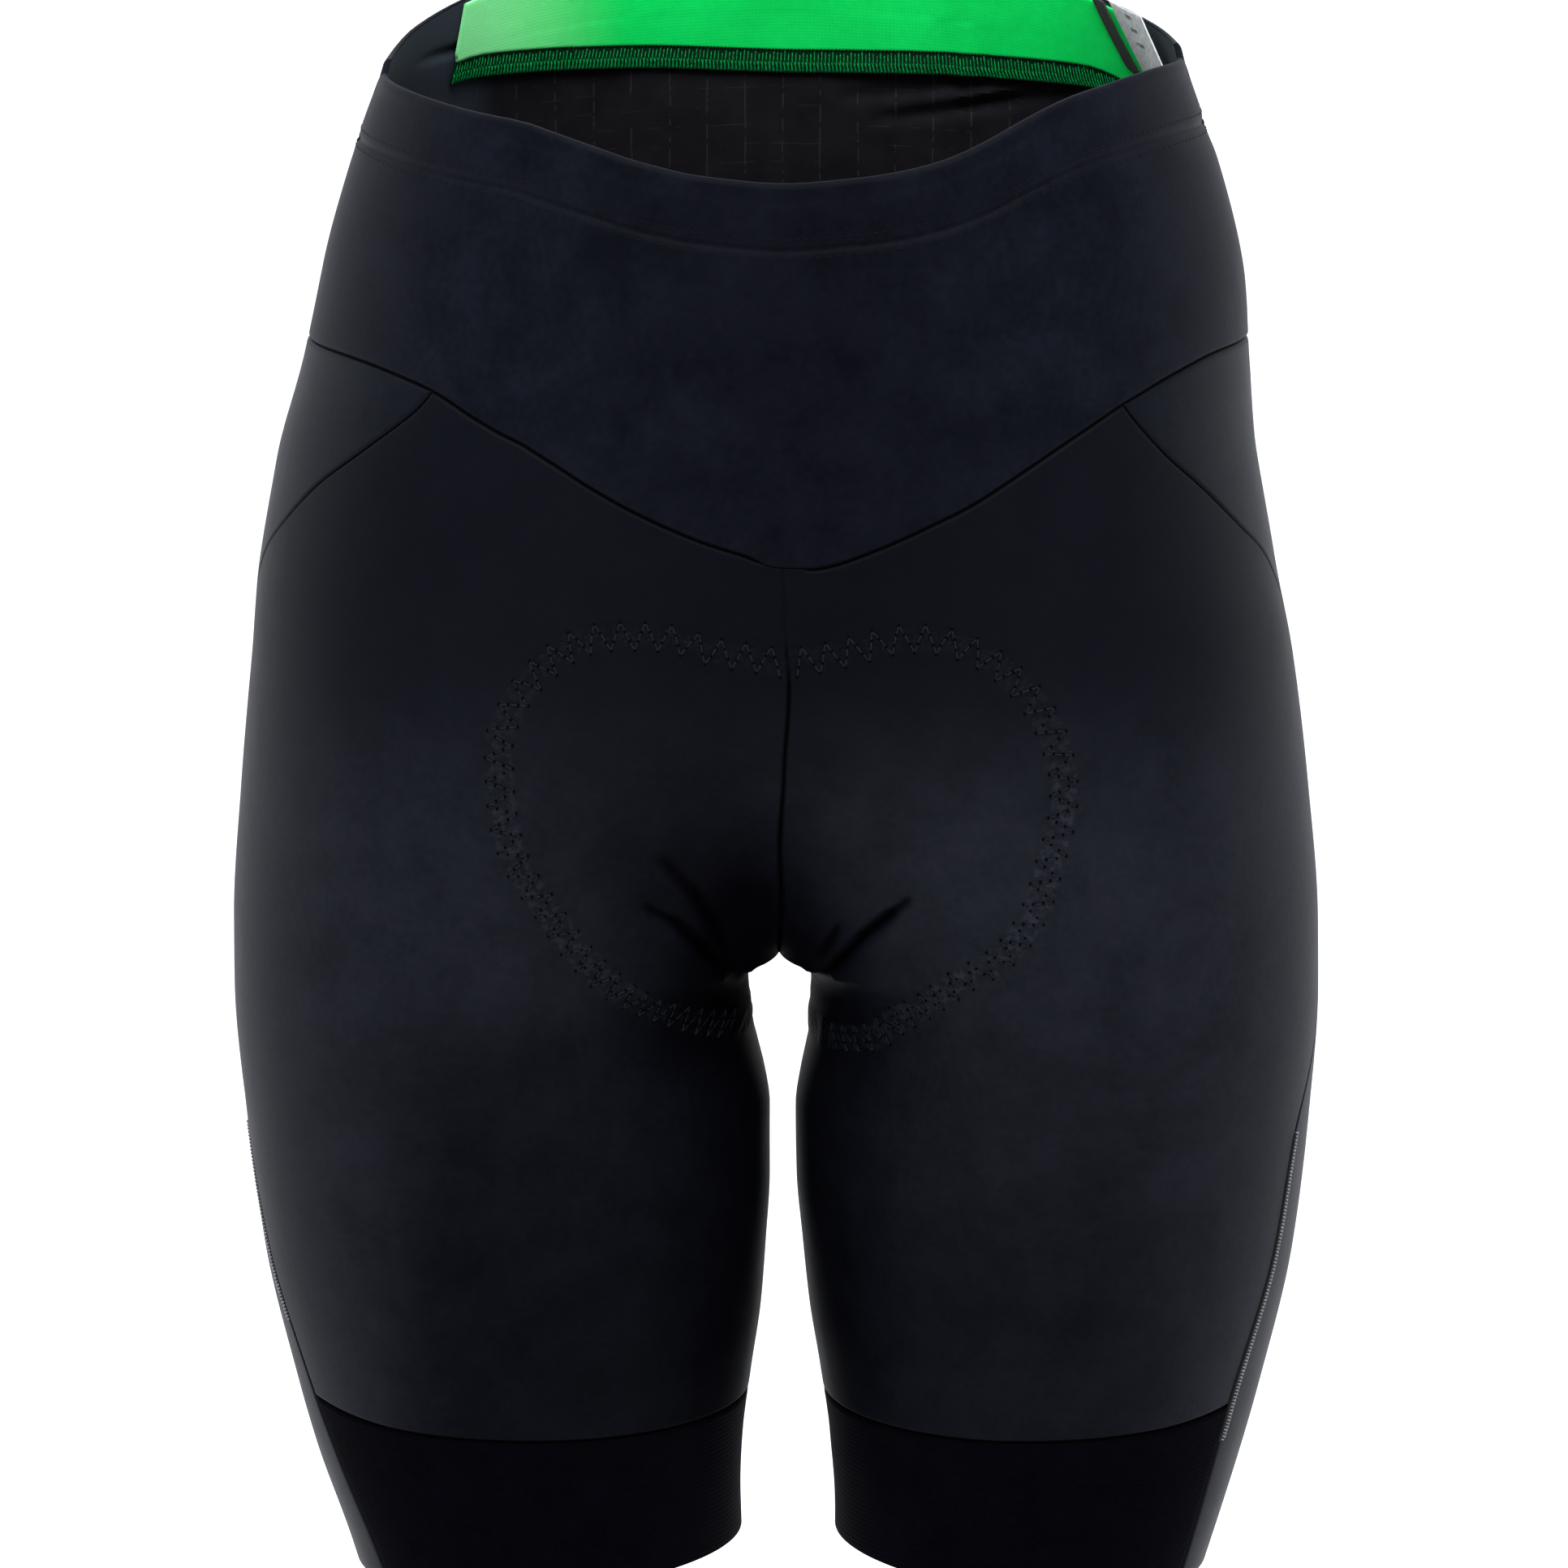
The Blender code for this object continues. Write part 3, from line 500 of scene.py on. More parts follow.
def casing_relief(points, row):
    """The folded waist: a bead at its edge, a full roll, and the groove where it is stitched."""
    below = np.interp(row / FINE, [0, 2, 3, 5, 10], [0, 18.5, 20.5, 41.0, 90.0])
    full = np.sin(np.pi * np.clip(below / 19.5, 0, 1)) ** 0.7
    roll = 1.35 * CASING_RISE * full + 0.35 * np.exp(-(((below - 1.3) / 1.2) ** 2))
    groove = 0.75 * np.exp(-(((below - 20.0) / 1.3) ** 2)) + 0.2 * np.exp(-(((below - 5.0) / 1.6) ** 2))
    x, z = points[..., 0], points[..., 2]
    near = np.exp(-(((below - 22.0) / 7.0) ** 2))[:, None]
    ripple = 0.22 * np.sin(x / 4.6 + z / 2.8 * np.sign(x)) * near * ease((np.abs(x) - 25.0) / 30.0)
    return (roll - groove)[:, None] + ripple


def crease_relief(points):
    """How far the creases press the cloth in, at each point."""
    total = np.zeros(points.shape[:-1])
    for row in CREASES[1:]:
        fold = dict(zip(CREASES[0], row))
        a = np.array([fold["x1"], fold["z1"]])
        b = np.array([fold["x2"], fold["z2"]])
        flat = points[..., [0, 2]]
        t = ((flat - a) @ (b - a)) / ((b - a) @ (b - a))
        nearest = np.clip(t, 0, 1)
        away = np.linalg.norm(flat - a - nearest[..., None] * (b - a), axis=-1)
        swell = np.sin(np.pi * (0.12 + 0.76 * nearest)) ** 0.7
        here = points[..., 1] < 0 if fold["face"] == "front" else ease((points[..., 1] - 6.0) / 12.0)
        total += fold["depth"] * swell * np.exp(-((away / fold["breadth"]) ** 2)) * here
    return total


def fold_shade(points):
    """How dark it is in the front creases, between the thighs and under the seat, from 0 to 1; the
    back takes 0.55 of the shade between the thighs and under the seat, and none of the rest."""
    x, z = points[..., 0] - centre_x(points[..., 2]), points[..., 2]
    front = ease((4.0 - points[..., 1]) / 12.0)
    rise = np.clip(z + 264.0, 0, None)
    deep = 0.82 * np.exp(-(((x + 10.0) / 26.0) ** 2) - (rise / 36.0) ** 2)
    deep += 0.34 * np.exp(-(((x + 24.0) / 40.0) ** 2) - (rise / 60.0) ** 2)
    deep = np.minimum(deep, 1.0)
    deep *= ease((z + 322.0) / 24.0)
    beside = np.abs(x) - np.where(z < CROTCH_Z, half_gap(z), 0.0)
    rim = 1 - ease((4.5 - beside) / 4.0) * ease((-300.0 - z) / 14.0)
    thigh = 0.62 * np.exp(-((beside / 30.0) ** 2)) * ease((-258.0 - z) / 16.0) * rim
    thigh *= 1 - 0.5 * ease((-405.0 - z) / 60.0)
    folds = np.zeros(points.shape[:-1])
    flat = points[..., [0, 2]]
    for row in CREASES[1:]:
        face, x1, z1, x2, z2, deepness, breadth = row
        if face != "front" or deepness < 0:
            continue
        a, b = np.array([x1, z1]), np.array([x2, z2])
        t = np.clip(((flat - a) @ (b - a)) / ((b - a) @ (b - a)), 0, 1)
        away = np.linalg.norm(flat - a - t[..., None] * (b - a), axis=-1)
        folds = np.maximum(folds, min(1.0, 0.45 * deepness) * np.exp(-((away / (0.95 * breadth)) ** 2)))
    soft = 1 - (1 - 0.93 * deep) * (1 - thigh)
    soft = 1 - (1 - soft * np.maximum(front, 0.55)) * (1 - broad_shade(x, z) * front)
    return 1 - (1 - soft) * (1 - folds * front)


def broad_shade(x, z):
    """The wide soft shade down the middle of the front and over the fronts of the thighs."""
    belly = 0.30 * np.exp(-(((x - 8.0) / 62.0) ** 2)) * ease((z + 225.0) / 40.0)
    seat = 0.50 * np.exp(-(((x + 34.0) / 46.0) ** 2) - ((z + 240.0) / 45.0) ** 2)
    lower = ease((-300.0 - z) / 90.0)
    side = ease((12.0 - x) / 24.0)
    strength = side * (0.56 + 0.16 * lower) + (1 - side) * (0.26 + 0.28 * lower)
    thighs = strength * ease((-258.0 - z) / 56.0) * ease((150.0 - np.abs(x)) / 48.0)
    return 1 - (1 - belly) * (1 - seat) * (1 - thighs)


def puffs(x, inset, turn):
    """Little swellings of the cloth between the stitches of the pad's outline."""
    mask = np.exp(-(((inset - 0.5 * PAD_BAND) / (0.52 * PAD_BAND)) ** 6))
    along = np.abs(turn) * 84.0
    wave = np.sin(2 * math.pi * along / 3.8 + 1.9 * np.sign(x) * inset / PAD_BAND * math.pi)
    uneven = np.sin(along * 0.63 + 2.0 * x / 40.0) * np.sin(along * 0.29 + 1.0)
    return mask * (0.10 + 0.24 * wave + 0.14 * uneven)


def soft_waver(points):
    """Slight unevenness of stretched cloth."""
    x, y, z = points[..., 0], points[..., 1], points[..., 2]
    wave = np.sin(x / 31.0 + 1.3 * np.sin(z / 47.0)) * np.sin(z / 39.0 + y / 58.0)
    wave += 0.5 * np.sin(x / 17.0 - z / 23.0 + y / 29.0)
    return 0.22 * wave


class Garment:
    """The two fine half grids with their outward directions, and the rows of the seam lines."""

    def __init__(self):
        rows, shares, self.line = all_rows()
        self.grids = []
        for sign, letter in ((1, "l"), (-1, "r")):
            waist, yoke = (table.read(letter, TURNS) for table in LIFTS)
            rings = [ring(row, w * waist + y * yoke) for row, (w, y) in zip(rows, shares)]
            grid = np.stack([
                split_ring(points, turn, row[4], "front_" + letter)
                for (points, turn), row in zip(rings, rows)
            ])
            x, z = grid[..., 0], grid[..., 2]
            inner = ease(1 - x / SECTION.read("fullest", z))
            shift = SHIFT.read("shift", z) * inner
            grid[..., 0] = sign * x + SECTION.read("lean", z) + shift
            self.grids.append(grid)
        self.normals = list(outward(self.grids))
        self.row_count = len(rows)
        self.last = FRONT_COLUMNS + SIDE_COLUMNS + BACK_COLUMNS

    def stations(self, half, columns):
        return [(half, c) for c in columns]

    def pick(self, stations, first, last):
        """Points and outward directions of some columns between two rows."""
        rows = slice(first, last + 1)
        points = np.stack([self.grids[h][rows, c] for h, c in stations], axis=1)
        normals = np.stack([self.normals[h][rows, c] for h, c in stations], axis=1)
        return points, normals


def relief(points, row):
    """How proud the outer face stands, and how far the whole cloth shifts, at each point."""
    return pad_relief(points) + casing_relief(points, row), soft_waver(points) - crease_relief(points)


def sample(grid, rows, columns):
    """The grid at whole or part rows, and at the columns given for each of those rows."""
    r = np.clip(np.floor(rows).astype(int), 0, grid.shape[0] - 2)
    c = np.clip(np.floor(columns).astype(int), 0, grid.shape[1] - 2)
    down = (rows - r)[:, None, None]
    over = (columns - c)[..., None]
    r = r[:, None]
    top = grid[r, c] * (1 - over) + grid[r, c + 1] * over
    foot = grid[r + 1, c] * (1 - over) + grid[r + 1, c + 1] * over
    return top * (1 - down) + foot * down


def cut_lines(count, finer, seams):
    """Lines of points across a panel, with more of them beside its seams."""
    lines = set(np.linspace(0, count, count * finer + 1))
    near = [line / SEAM_CELL for line in SEAM_LINES]
    if seams[0]:
        lines |= set(near)
    if seams[1]:
        lines |= {count - line for line in near}
    lines = sorted(lines)
    kept = [lines[0]]
    for line in lines[1:-1]:
        if line - kept[-1] > 0.07 and lines[-1] - line > 0.07:
            kept.append(line)
    return np.array(kept + [lines[-1]])


def seam_strength(edge):
    """1 along a plain seam; less where the seam hardly shows."""
    y, z = edge[..., 1], edge[..., 2]
    x = np.abs(edge[..., 0] - centre_x(z))
    centre = ease((9.0 - x) / 4.0) * ease((z + 290.0) / 4.0)
    upper = 1 - 0.72 * ease((z + 182.0) / 14.0)
    inseam = ease((-286.0 - z) / 6.0) * ease((34.0 - x) / 6.0) * ease((14.0 - np.abs(y)) / 6.0)
    return (1 + centre * (upper - 1)) * (1 - 0.6 * inseam)


def seam_marks(points, seams):
    """Depth of the seam grooves and how dark they are painted (the dark seam thread, and painted shade in the
    groove), over a panel.
    """
    over = np.linalg.norm(np.diff(points, axis=1), axis=2)
    over = np.concatenate([np.zeros((points.shape[0], 1)), np.cumsum(over, axis=1)], axis=1)
    down = np.linalg.norm(np.diff(points, axis=0), axis=2)
    down = np.concatenate([np.zeros((1, points.shape[1])), np.cumsum(down, axis=0)], axis=0)
    sides = [
        (over, seam_strength(points[:, 0])[:, None], True),
        (over[:, -1:] - over, seam_strength(points[:, -1])[:, None], True),
        (down, seam_strength(points[0])[None], seams[0]),
        (down[-1:] - down, seam_strength(points[-1])[None], seams[1]),
    ]
    dip = np.zeros(points.shape[:2])
    dark = np.zeros(points.shape[:2])
    for away, strength, here in sides:
        if here:
            dip = np.maximum(dip, SEAM_DEPTH * strength * np.exp(-((away / SEAM_WIDTH) ** 2)))
            dark = np.maximum(dark, strength * np.exp(-((away / 0.8) ** 4)))
    return dip, dark


def draw_in(points, rows_too, columns_too=(True, True)):
    moved = points.copy()

    def step(edge, inner):
        way = inner - edge
        return HALF_GAP * way / np.linalg.norm(way, axis=-1, keepdims=True)

    if columns_too[0]:
        moved[:, 0] += step(points[:, 0], points[:, 1])
    if columns_too[1]:
        moved[:, -1] += step(points[:, -1], points[:, -2])
    if rows_too[0]:
        moved[0] += step(points[0], points[1])
    if rows_too[1]:
        moved[-1] += step(points[-1], points[-2])
    return moved


def surface_map(points):
    """Distances across and down a grid, in metres, for the weave."""
    across = np.cumsum(np.linalg.norm(np.diff(points, axis=1), axis=2), axis=1)
    across = np.concatenate([np.zeros((points.shape[0], 1)), across], axis=1)
    across -= across[:, [points.shape[1] // 2]]
    down = np.cumsum(np.linalg.norm(np.diff(points, axis=0), axis=2), axis=0)
    down = np.concatenate([np.zeros((1, points.shape[1])), down], axis=0)
    return np.stack([across * MM, -down * MM], axis=-1)


def wall_mesh(outer, inner, round_rows=(False, False)):
    """Vertices, faces, source indices and count of outer faces of a closed sheet; open ends get a
    rounded lip."""
    rows, columns = outer.shape[:2]
    vertices = [outer.reshape(-1, 3), inner.reshape(-1, 3)]
    index = np.arange(rows * columns).reshape(rows, columns)
    lower = rows * columns
    a, b = index[:-1, :-1].reshape(-1), index[:-1, 1:].reshape(-1)
    c, d = index[1:, 1:].reshape(-1), index[1:, :-1].reshape(-1)
    quads = [np.stack([a, b, c, d], 1), np.stack([d, c, b, a], 1) + lower]
    extra = 2 * lower
    source = [np.arange(lower), np.arange(lower)]

    def lip(line, beyond, forward):
        nonlocal extra
        out, back = vertices[0][line], vertices[1][line]
        middle, half = 0.5 * (out + back), 0.5 * (out - back)
        way = middle - 0.5 * (vertices[0][beyond] + vertices[1][beyond])
        way /= np.linalg.norm(way, axis=1, keepdims=True)
        thick = np.linalg.norm(half, axis=1, keepdims=True)
        loops = [line]
        for angle in (30.0, 60.0, 90.0, 120.0, 150.0):
            t = math.radians(angle)
            vertices.append(middle + math.cos(t) * half + math.sin(t) * 0.8 * thick * way)
            source.append(line)
            loops.append(np.arange(extra, extra + len(line)))
            extra += len(line)
        loops.append(line + lower)
        for upper, under in zip(loops, loops[1:]):
            quad = np.stack([upper[:-1], upper[1:], under[1:], under[:-1]], 1)
            quads.append(quad[:, ::-1] if forward else quad)
        return loops

    ends = []
    for k, (line, beyond) in enumerate(((index[0], index[1]), (index[-1], index[-2]))):
        if round_rows[k]:
            ends.append(lip(line, beyond, k == 0))
        else:
            quad = np.stack([line[:-1], line[1:], line[1:] + lower, line[:-1] + lower], 1)
            quads.append(quad[:, ::-1] if k == 0 else quad)
            ends.append([line, line + lower])
    for side in (0, -1):
        line = index[:, side]
        quad = np.stack([line[:-1], line[1:], line[1:] + lower, line[:-1] + lower], 1)
        quads.append(quad if side == 0 else quad[:, ::-1])
    faces = np.concatenate(quads)
    caps = []
    for k, loops in enumerate(ends):
        if len(loops) > 2:
            for side in (0, -1):
                cap = [int(loop[side]) for loop in loops]
                flip = (k == 0) != (side == 0)
                caps.append(cap if flip else cap[::-1])
    r, q = rows // 2, columns // 2
    over, down = outer[r, q + 1] - outer[r, q], outer[r + 1, q] - outer[r, q]
    if np.dot(np.cross(down, over), outer[r, q] - inner[r, q]) < 0:
        faces, caps = faces[:, ::-1], [cap[::-1] for cap in caps]
    return np.concatenate(vertices), faces.tolist() + caps, np.concatenate(source), len(a)


def add_mesh(name, vertices, faces, materials, uv=None, sharp=48.0, inner=None):
    mesh = bpy.data.meshes.new(name)
    mesh.from_pydata((np.asarray(vertices) * MM).tolist(), [], faces)
    for material in materials:
        mesh.materials.append(material)
    if inner is not None:
        slots = np.zeros(len(mesh.polygons), dtype=np.int32)
        slots[inner : 2 * inner] = 1
        mesh.polygons.foreach_set("material_index", slots)
    if uv is not None:
        corner = np.zeros(len(mesh.loops), dtype=np.int32)
        mesh.loops.foreach_get("vertex_index", corner)
        for layer_name, values in uv.items():
            layer = mesh.uv_layers.new(name=layer_name)
            layer.data.foreach_set("uv", values[corner].astype(np.float32).reshape(-1))
    mesh.polygons.foreach_set("use_smooth", np.ones(len(mesh.polygons), dtype=bool))
    mesh.validate()
    if sharp:
        mesh.set_sharp_from_angle(angle=math.radians(sharp))
    piece = bpy.data.objects.new(name, mesh)
    bpy.context.scene.collection.objects.link(piece)
    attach(piece, "root")
    return piece


def panel(garment, node, stations, first, last, materials, finer=(1, 1)):
    """A cut piece of the outer cloth."""
    base, ways = garment.pick(stations, first, last)
    seams = (first != 0, last != garment.row_count - 1)
    rows = cut_lines(base.shape[0] - 1, finer[0], seams)
    columns = cut_lines(base.shape[1] - 1, finer[1], (True, True))
    columns = np.broadcast_to(columns, (len(rows), len(columns)))
    points, normals = sample(base, rows, columns), sample(ways, rows, columns)
    normals /= np.linalg.norm(normals, axis=-1, keepdims=True)
    rise, shift = relief(points, rows + first)
    dip, dark = seam_marks(points, seams)
    moved = shift[..., None] * normals
    outer = draw_in(points, seams) + moved + (rise - dip)[..., None] * normals
    inner = points + moved - WALL * normals
    vertices, faces, source, skin = wall_mesh(outer, inner, (not seams[0], not seams[1]))
    x = points[..., 0] - centre_x(points[..., 2])
    inset = pad_inset(x, points[..., 2])
    turn = np.arctan2(x, points[..., 2] - PAD_CENTRE_Z)
    maps = {
        "weave": surface_map(points),
        "pad": np.stack([turn / math.pi, inset * 0.01], axis=-1),
        # the seam map holds the seams' painted darkness and, second, fold_shade's painted shade
        "seam": np.stack([dark, fold_shade(points)], axis=-1),
    }
    maps = {name: values.reshape(-1, 2)[source] for name, values in maps.items()}
    inside_too = skin if len(materials) > 1 else None
    piece = add_mesh("cloth_" + node, vertices, faces, materials, maps, inner=inside_too)
    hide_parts(node)
    return piece


# ---------------------------------------------------------------------------
# Materials
# ---------------------------------------------------------------------------
class Nodes:
    """Short calls for building a material."""

    def __init__(self, name):
        self.material = bpy.data.materials.new(name)
        self.material.use_nodes = True
        self.tree = self.material.node_tree
        self.shader = self.tree.nodes["Principled BSDF"]

    def add(self, kind, **values):
        node = self.tree.nodes.new(kind)
        for key, value in values.items():
            setattr(node, key, value)
        return node

    def link(self, a, b):
        self.tree.links.new(a, b)

    def uv(self, layer):
        return self.add("ShaderNodeUVMap", uv_map=layer).outputs["UV"]

    def place(self):
        return self.add("ShaderNodeTexCoord").outputs["Object"]

    def noise(self, vector, scale, detail=3.0, rough=0.55):
        node = self.add("ShaderNodeTexNoise")
        node.inputs["Scale"].default_value = scale
        node.inputs["Detail"].default_value = detail
        node.inputs["Roughness"].default_value = rough
        self.link(vector, node.inputs["Vector"])
        return node.outputs["Fac"]

    def math(self, operation, a, b=None, c=None):
        node = self.add("ShaderNodeMath", operation=operation)
        for slot, value in zip(node.inputs, (a, b, c)):
            if value is None:
                continue
            if isinstance(value, (int, float)):
                slot.default_value = value
            else:
                self.link(value, slot)
        return node.outputs[0]

    def ramp(self, fac, stops):
        node = self.add("ShaderNodeValToRGB")
        while len(node.color_ramp.elements) < len(stops):
            node.color_ramp.elements.new(0.5)
        for element, (position, colour) in zip(node.color_ramp.elements, stops):
            element.position = position
            element.color = (*colour, 1.0) if len(colour) == 3 else colour
        self.link(fac, node.inputs["Fac"])
        return node.outputs["Color"]

    def mix(self, fac, a, b):
        node = self.add("ShaderNodeMix", data_type="RGBA")
        for slot, value in ((node.inputs["Factor"], fac), (node.inputs["A"], a), (node.inputs["B"], b)):
            if isinstance(value, (int, float)):
                slot.default_value = value
            elif isinstance(value, tuple):
                slot.default_value = (*value, 1.0)
            else:
                self.link(value, slot)
        return node.outputs["Result"]

    def shaded(self, value, shade, least=0.0):
        """A number that fades to its least share where the shade is full."""
        fade = self.math("MULTIPLY_ADD", shade, -(1.0 - least) * value, value)
        return fade

    def split(self, vector):
        node = self.add("ShaderNodeSeparateXYZ")
        self.link(vector, node.inputs[0])
        return node.outputs["X"], node.outputs["Y"]

    def height(self, vector):
        node = self.add("ShaderNodeSeparateXYZ")
        self.link(vector, node.inputs[0])
        return node.outputs["Z"]

    def bump(self, height, strength, distance, after=None):
        node = self.add("ShaderNodeBump")
        node.inputs["Strength"].default_value = strength
        node.inputs["Distance"].default_value = distance
        self.link(height, node.inputs["Height"])
        if after is not None:
            self.link(after, node.inputs["Normal"])
        return node.outputs["Normal"]

    def finish(self, colour, roughness, normal, specular, sheen, sheen_tint, sheen_rough=0.45):
        shader = self.shader
        self.link(colour, shader.inputs["Base Color"])
        if isinstance(roughness, float):
            shader.inputs["Roughness"].default_value = roughness
        else:
            self.link(roughness, shader.inputs["Roughness"])
        if normal is not None:
            self.link(normal, shader.inputs["Normal"])
        for name, value in (("Specular IOR Level", specular), ("Sheen Weight", sheen)):
            if isinstance(value, float):
                shader.inputs[name].default_value = value
            else:
                self.link(value, shader.inputs[name])
        shader.inputs["Sheen Roughness"].default_value = sheen_rough
        shader.inputs["Sheen Tint"].default_value = (*sheen_tint, 1.0)
        return self.material


def ribs(n, coordinate, pitch):
    """A soft ridge that repeats every pitch metres, from 0 to 1."""
    wave = n.math("SINE", n.math("MULTIPLY", coordinate, 2 * math.pi / pitch))
    return n.math("MULTIPLY_ADD", wave, 0.5, 0.5)


def knit_bump(n, weave, pitch, strength):
    u, v = n.split(weave)
    wale = ribs(n, u, pitch)
    course = ribs(n, n.math("ADD", v, n.math("MULTIPLY", wale, pitch * 0.35)), pitch * 0.8)
    cloth = n.math("MULTIPLY_ADD", course, 0.5, n.math("MULTIPLY", wale, 0.5))
    return n.bump(cloth, strength, 0.00012)


def seam_shade(n, colour, amount=0.9):
    """Darkens the cloth where it rolls into a seam: the dark seam thread, and painted shade in the groove."""
    dark, _ = n.split(n.uv("seam"))
    return n.mix(n.math("MULTIPLY", dark, amount), colour, (0.0008, 0.0008, 0.0012))


def knit_colour(n, dark, light):
    place = n.place()
    mottle = n.noise(place, 55.0, 4.0)
    fleck = n.noise(place, 420.0, 2.0)
    both = n.math("MULTIPLY_ADD", fleck, 0.35, n.math("MULTIPLY", mottle, 0.65))
    return place, mottle, n.ramp(both, [(0.34, dark), (0.66, light)])


def stretch_knit(name, dark, light, roughness=0.5, specular=0.035, sheen=0.03, pad=False):
    """Smooth stretch knit with slight mottling; puffed between the stitches along the pad's outline,
    its puffs' raised spots painted lighter as a painted highlight. Painted shade darkens it and dims
    its shine in its folds, between the thighs, under the seat, down the middle of the front and over
    the fronts of the thighs, and darkens the legs' cloth towards the top of the legs."""
    n = Nodes(name)
    place, mottle, colour = knit_colour(n, dark, light)
    rough = n.math("MULTIPLY_ADD", mottle, 0.12, roughness - 0.06)
    normal = knit_bump(n, n.uv("weave"), 0.0011, 0.35)
    normal = n.bump(mottle, 0.10, 0.0015, normal)
    if pad:
        _, inset = n.split(n.uv("pad"))
        band = n.math("ABSOLUTE", n.math("SUBTRACT", inset, 0.0425))
        mask = n.add("ShaderNodeMapRange", interpolation_type="SMOOTHSTEP")
        mask.inputs["From Min"].default_value = 0.052
        mask.inputs["From Max"].default_value = 0.030
        n.link(band, mask.inputs["Value"])
        cell = n.noise(place, 420.0, 2.0)
        spots = n.add("ShaderNodeMapRange", interpolation_type="SMOOTHSTEP")
        spots.inputs["From Min"].default_value = 0.42
        spots.inputs["From Max"].default_value = 0.66
        n.link(cell, spots.inputs["Value"])
        height = n.math("MULTIPLY", spots.outputs["Result"], mask.outputs["Result"])
        normal = n.bump(height, 0.6, 0.0005, normal)
        # painted highlight: the puffs' raised spots are painted lighter
        colour = n.mix(n.math("MULTIPLY", height, 0.5), colour, tuple(2.2 * c for c in light))
        # painted shade: the legs' cloth darkens towards the top of the legs
        leg_top_shade = n.add("ShaderNodeMapRange", interpolation_type="SMOOTHSTEP")
        leg_top_shade.inputs["From Min"].default_value = LEG_TOP_FADE["foot"]
        leg_top_shade.inputs["From Max"].default_value = LEG_TOP_FADE["top"]
        leg_top_shade.inputs["To Max"].default_value = LEG_TOP_FADE["amount"]
        n.link(n.height(place), leg_top_shade.inputs["Value"])
        colour = n.mix(leg_top_shade.outputs["Result"], colour, NAVY_LEG_TOP)
    # painted shade from the seam map's second channel darkens the colour and dims specular and sheen
    _, shade = n.split(n.uv("seam"))
    colour = n.mix(n.math("MULTIPLY", shade, 0.93), colour, (0.0004, 0.0003, 0.0007))
    specular, sheen = n.shaded(specular, shade), n.shaded(sheen, shade)
    return n.finish(seam_shade(n, colour), rough, normal, specular, sheen, (0.62, 0.72, 0.92), 0.3)


def thread_grid_knit(name, sides=None):
    """Brown-black knit with fine light threads every 13 mm and fainter ones across; beyond the back
    it turns into the plain colour given as sides."""
    n = Nodes(name)
    place = n.place()
    weave = n.uv("weave")
    _, v = n.split(weave)
    x, _ = n.split(place)
    mottle = n.noise(place, 90.0, 4.0)
    base = n.ramp(mottle, [(0.3, (0.0060, 0.0054, 0.0076)), (0.7, (0.0110, 0.0100, 0.0130))])
    wander = n.math("MULTIPLY", n.noise(place, 60.0, 1.0), 0.0010)
    cell = n.math("PINGPONG", n.math("ADD", x, wander), 0.01266 / 2)
    line = n.math("LESS_THAN", cell, 0.00026)
    dash = n.math("GREATER_THAN", n.noise(place, 260.0, 2.0), 0.47)
    up = n.math("MULTIPLY", line, dash)
    faint = n.math("LESS_THAN", n.math("PINGPONG", n.math("ADD", v, wander), 0.0032), 0.00022)
    faint = n.math("MULTIPLY", faint, n.math("GREATER_THAN", n.noise(place, 130.0, 2.0), 0.58))
    colour = n.mix(n.math("MULTIPLY", up, 0.45), base, (0.046, 0.038, 0.033))
    colour = n.mix(n.math("MULTIPLY", faint, 0.25), colour, (0.040, 0.034, 0.032))
    if sides is not None:
        edge = n.add("ShaderNodeMapRange", interpolation_type="SMOOTHSTEP")
        edge.inputs["From Min"].default_value = 0.094
        edge.inputs["From Max"].default_value = 0.108
        n.link(n.math("ABSOLUTE", x), edge.inputs["Value"])
        colour = n.mix(edge.outputs["Result"], colour, sides)
    normal = knit_bump(n, weave, 0.0012, 0.4)
    normal = n.bump(up, 0.5, 0.0003, normal)
    return n.finish(colour, 0.75, normal, 0.08, 0.04, (0.8, 0.75, 0.72), 0.4)


def band_knit(name):
    """Firm matt elastic knit with fine ribs that run round the leg."""
    n = Nodes(name)
    place = n.place()
    weave = n.uv("weave")
    u, v = n.split(weave)
    mottle = n.noise(place, 70.0, 4.0)
    fleck = n.noise(place, 600.0, 2.0)
    both = n.math("MULTIPLY_ADD", fleck, 0.5, n.math("MULTIPLY", mottle, 0.5))
    colour = n.ramp(both, [(0.34, (0.0006, 0.0004, 0.0012)), (0.68, (0.0016, 0.0012, 0.0030))])
    rib = ribs(n, v, 0.0016)
    stitch = ribs(n, u, 0.0012)
    height = n.math("MULTIPLY_ADD", stitch, 0.4, rib)
    normal = n.bump(height, 0.45, 0.00016)
    return n.finish(seam_shade(n, colour), 0.8, normal, 0.012, 0.02, (0.75, 0.75, 0.95), 0.3)


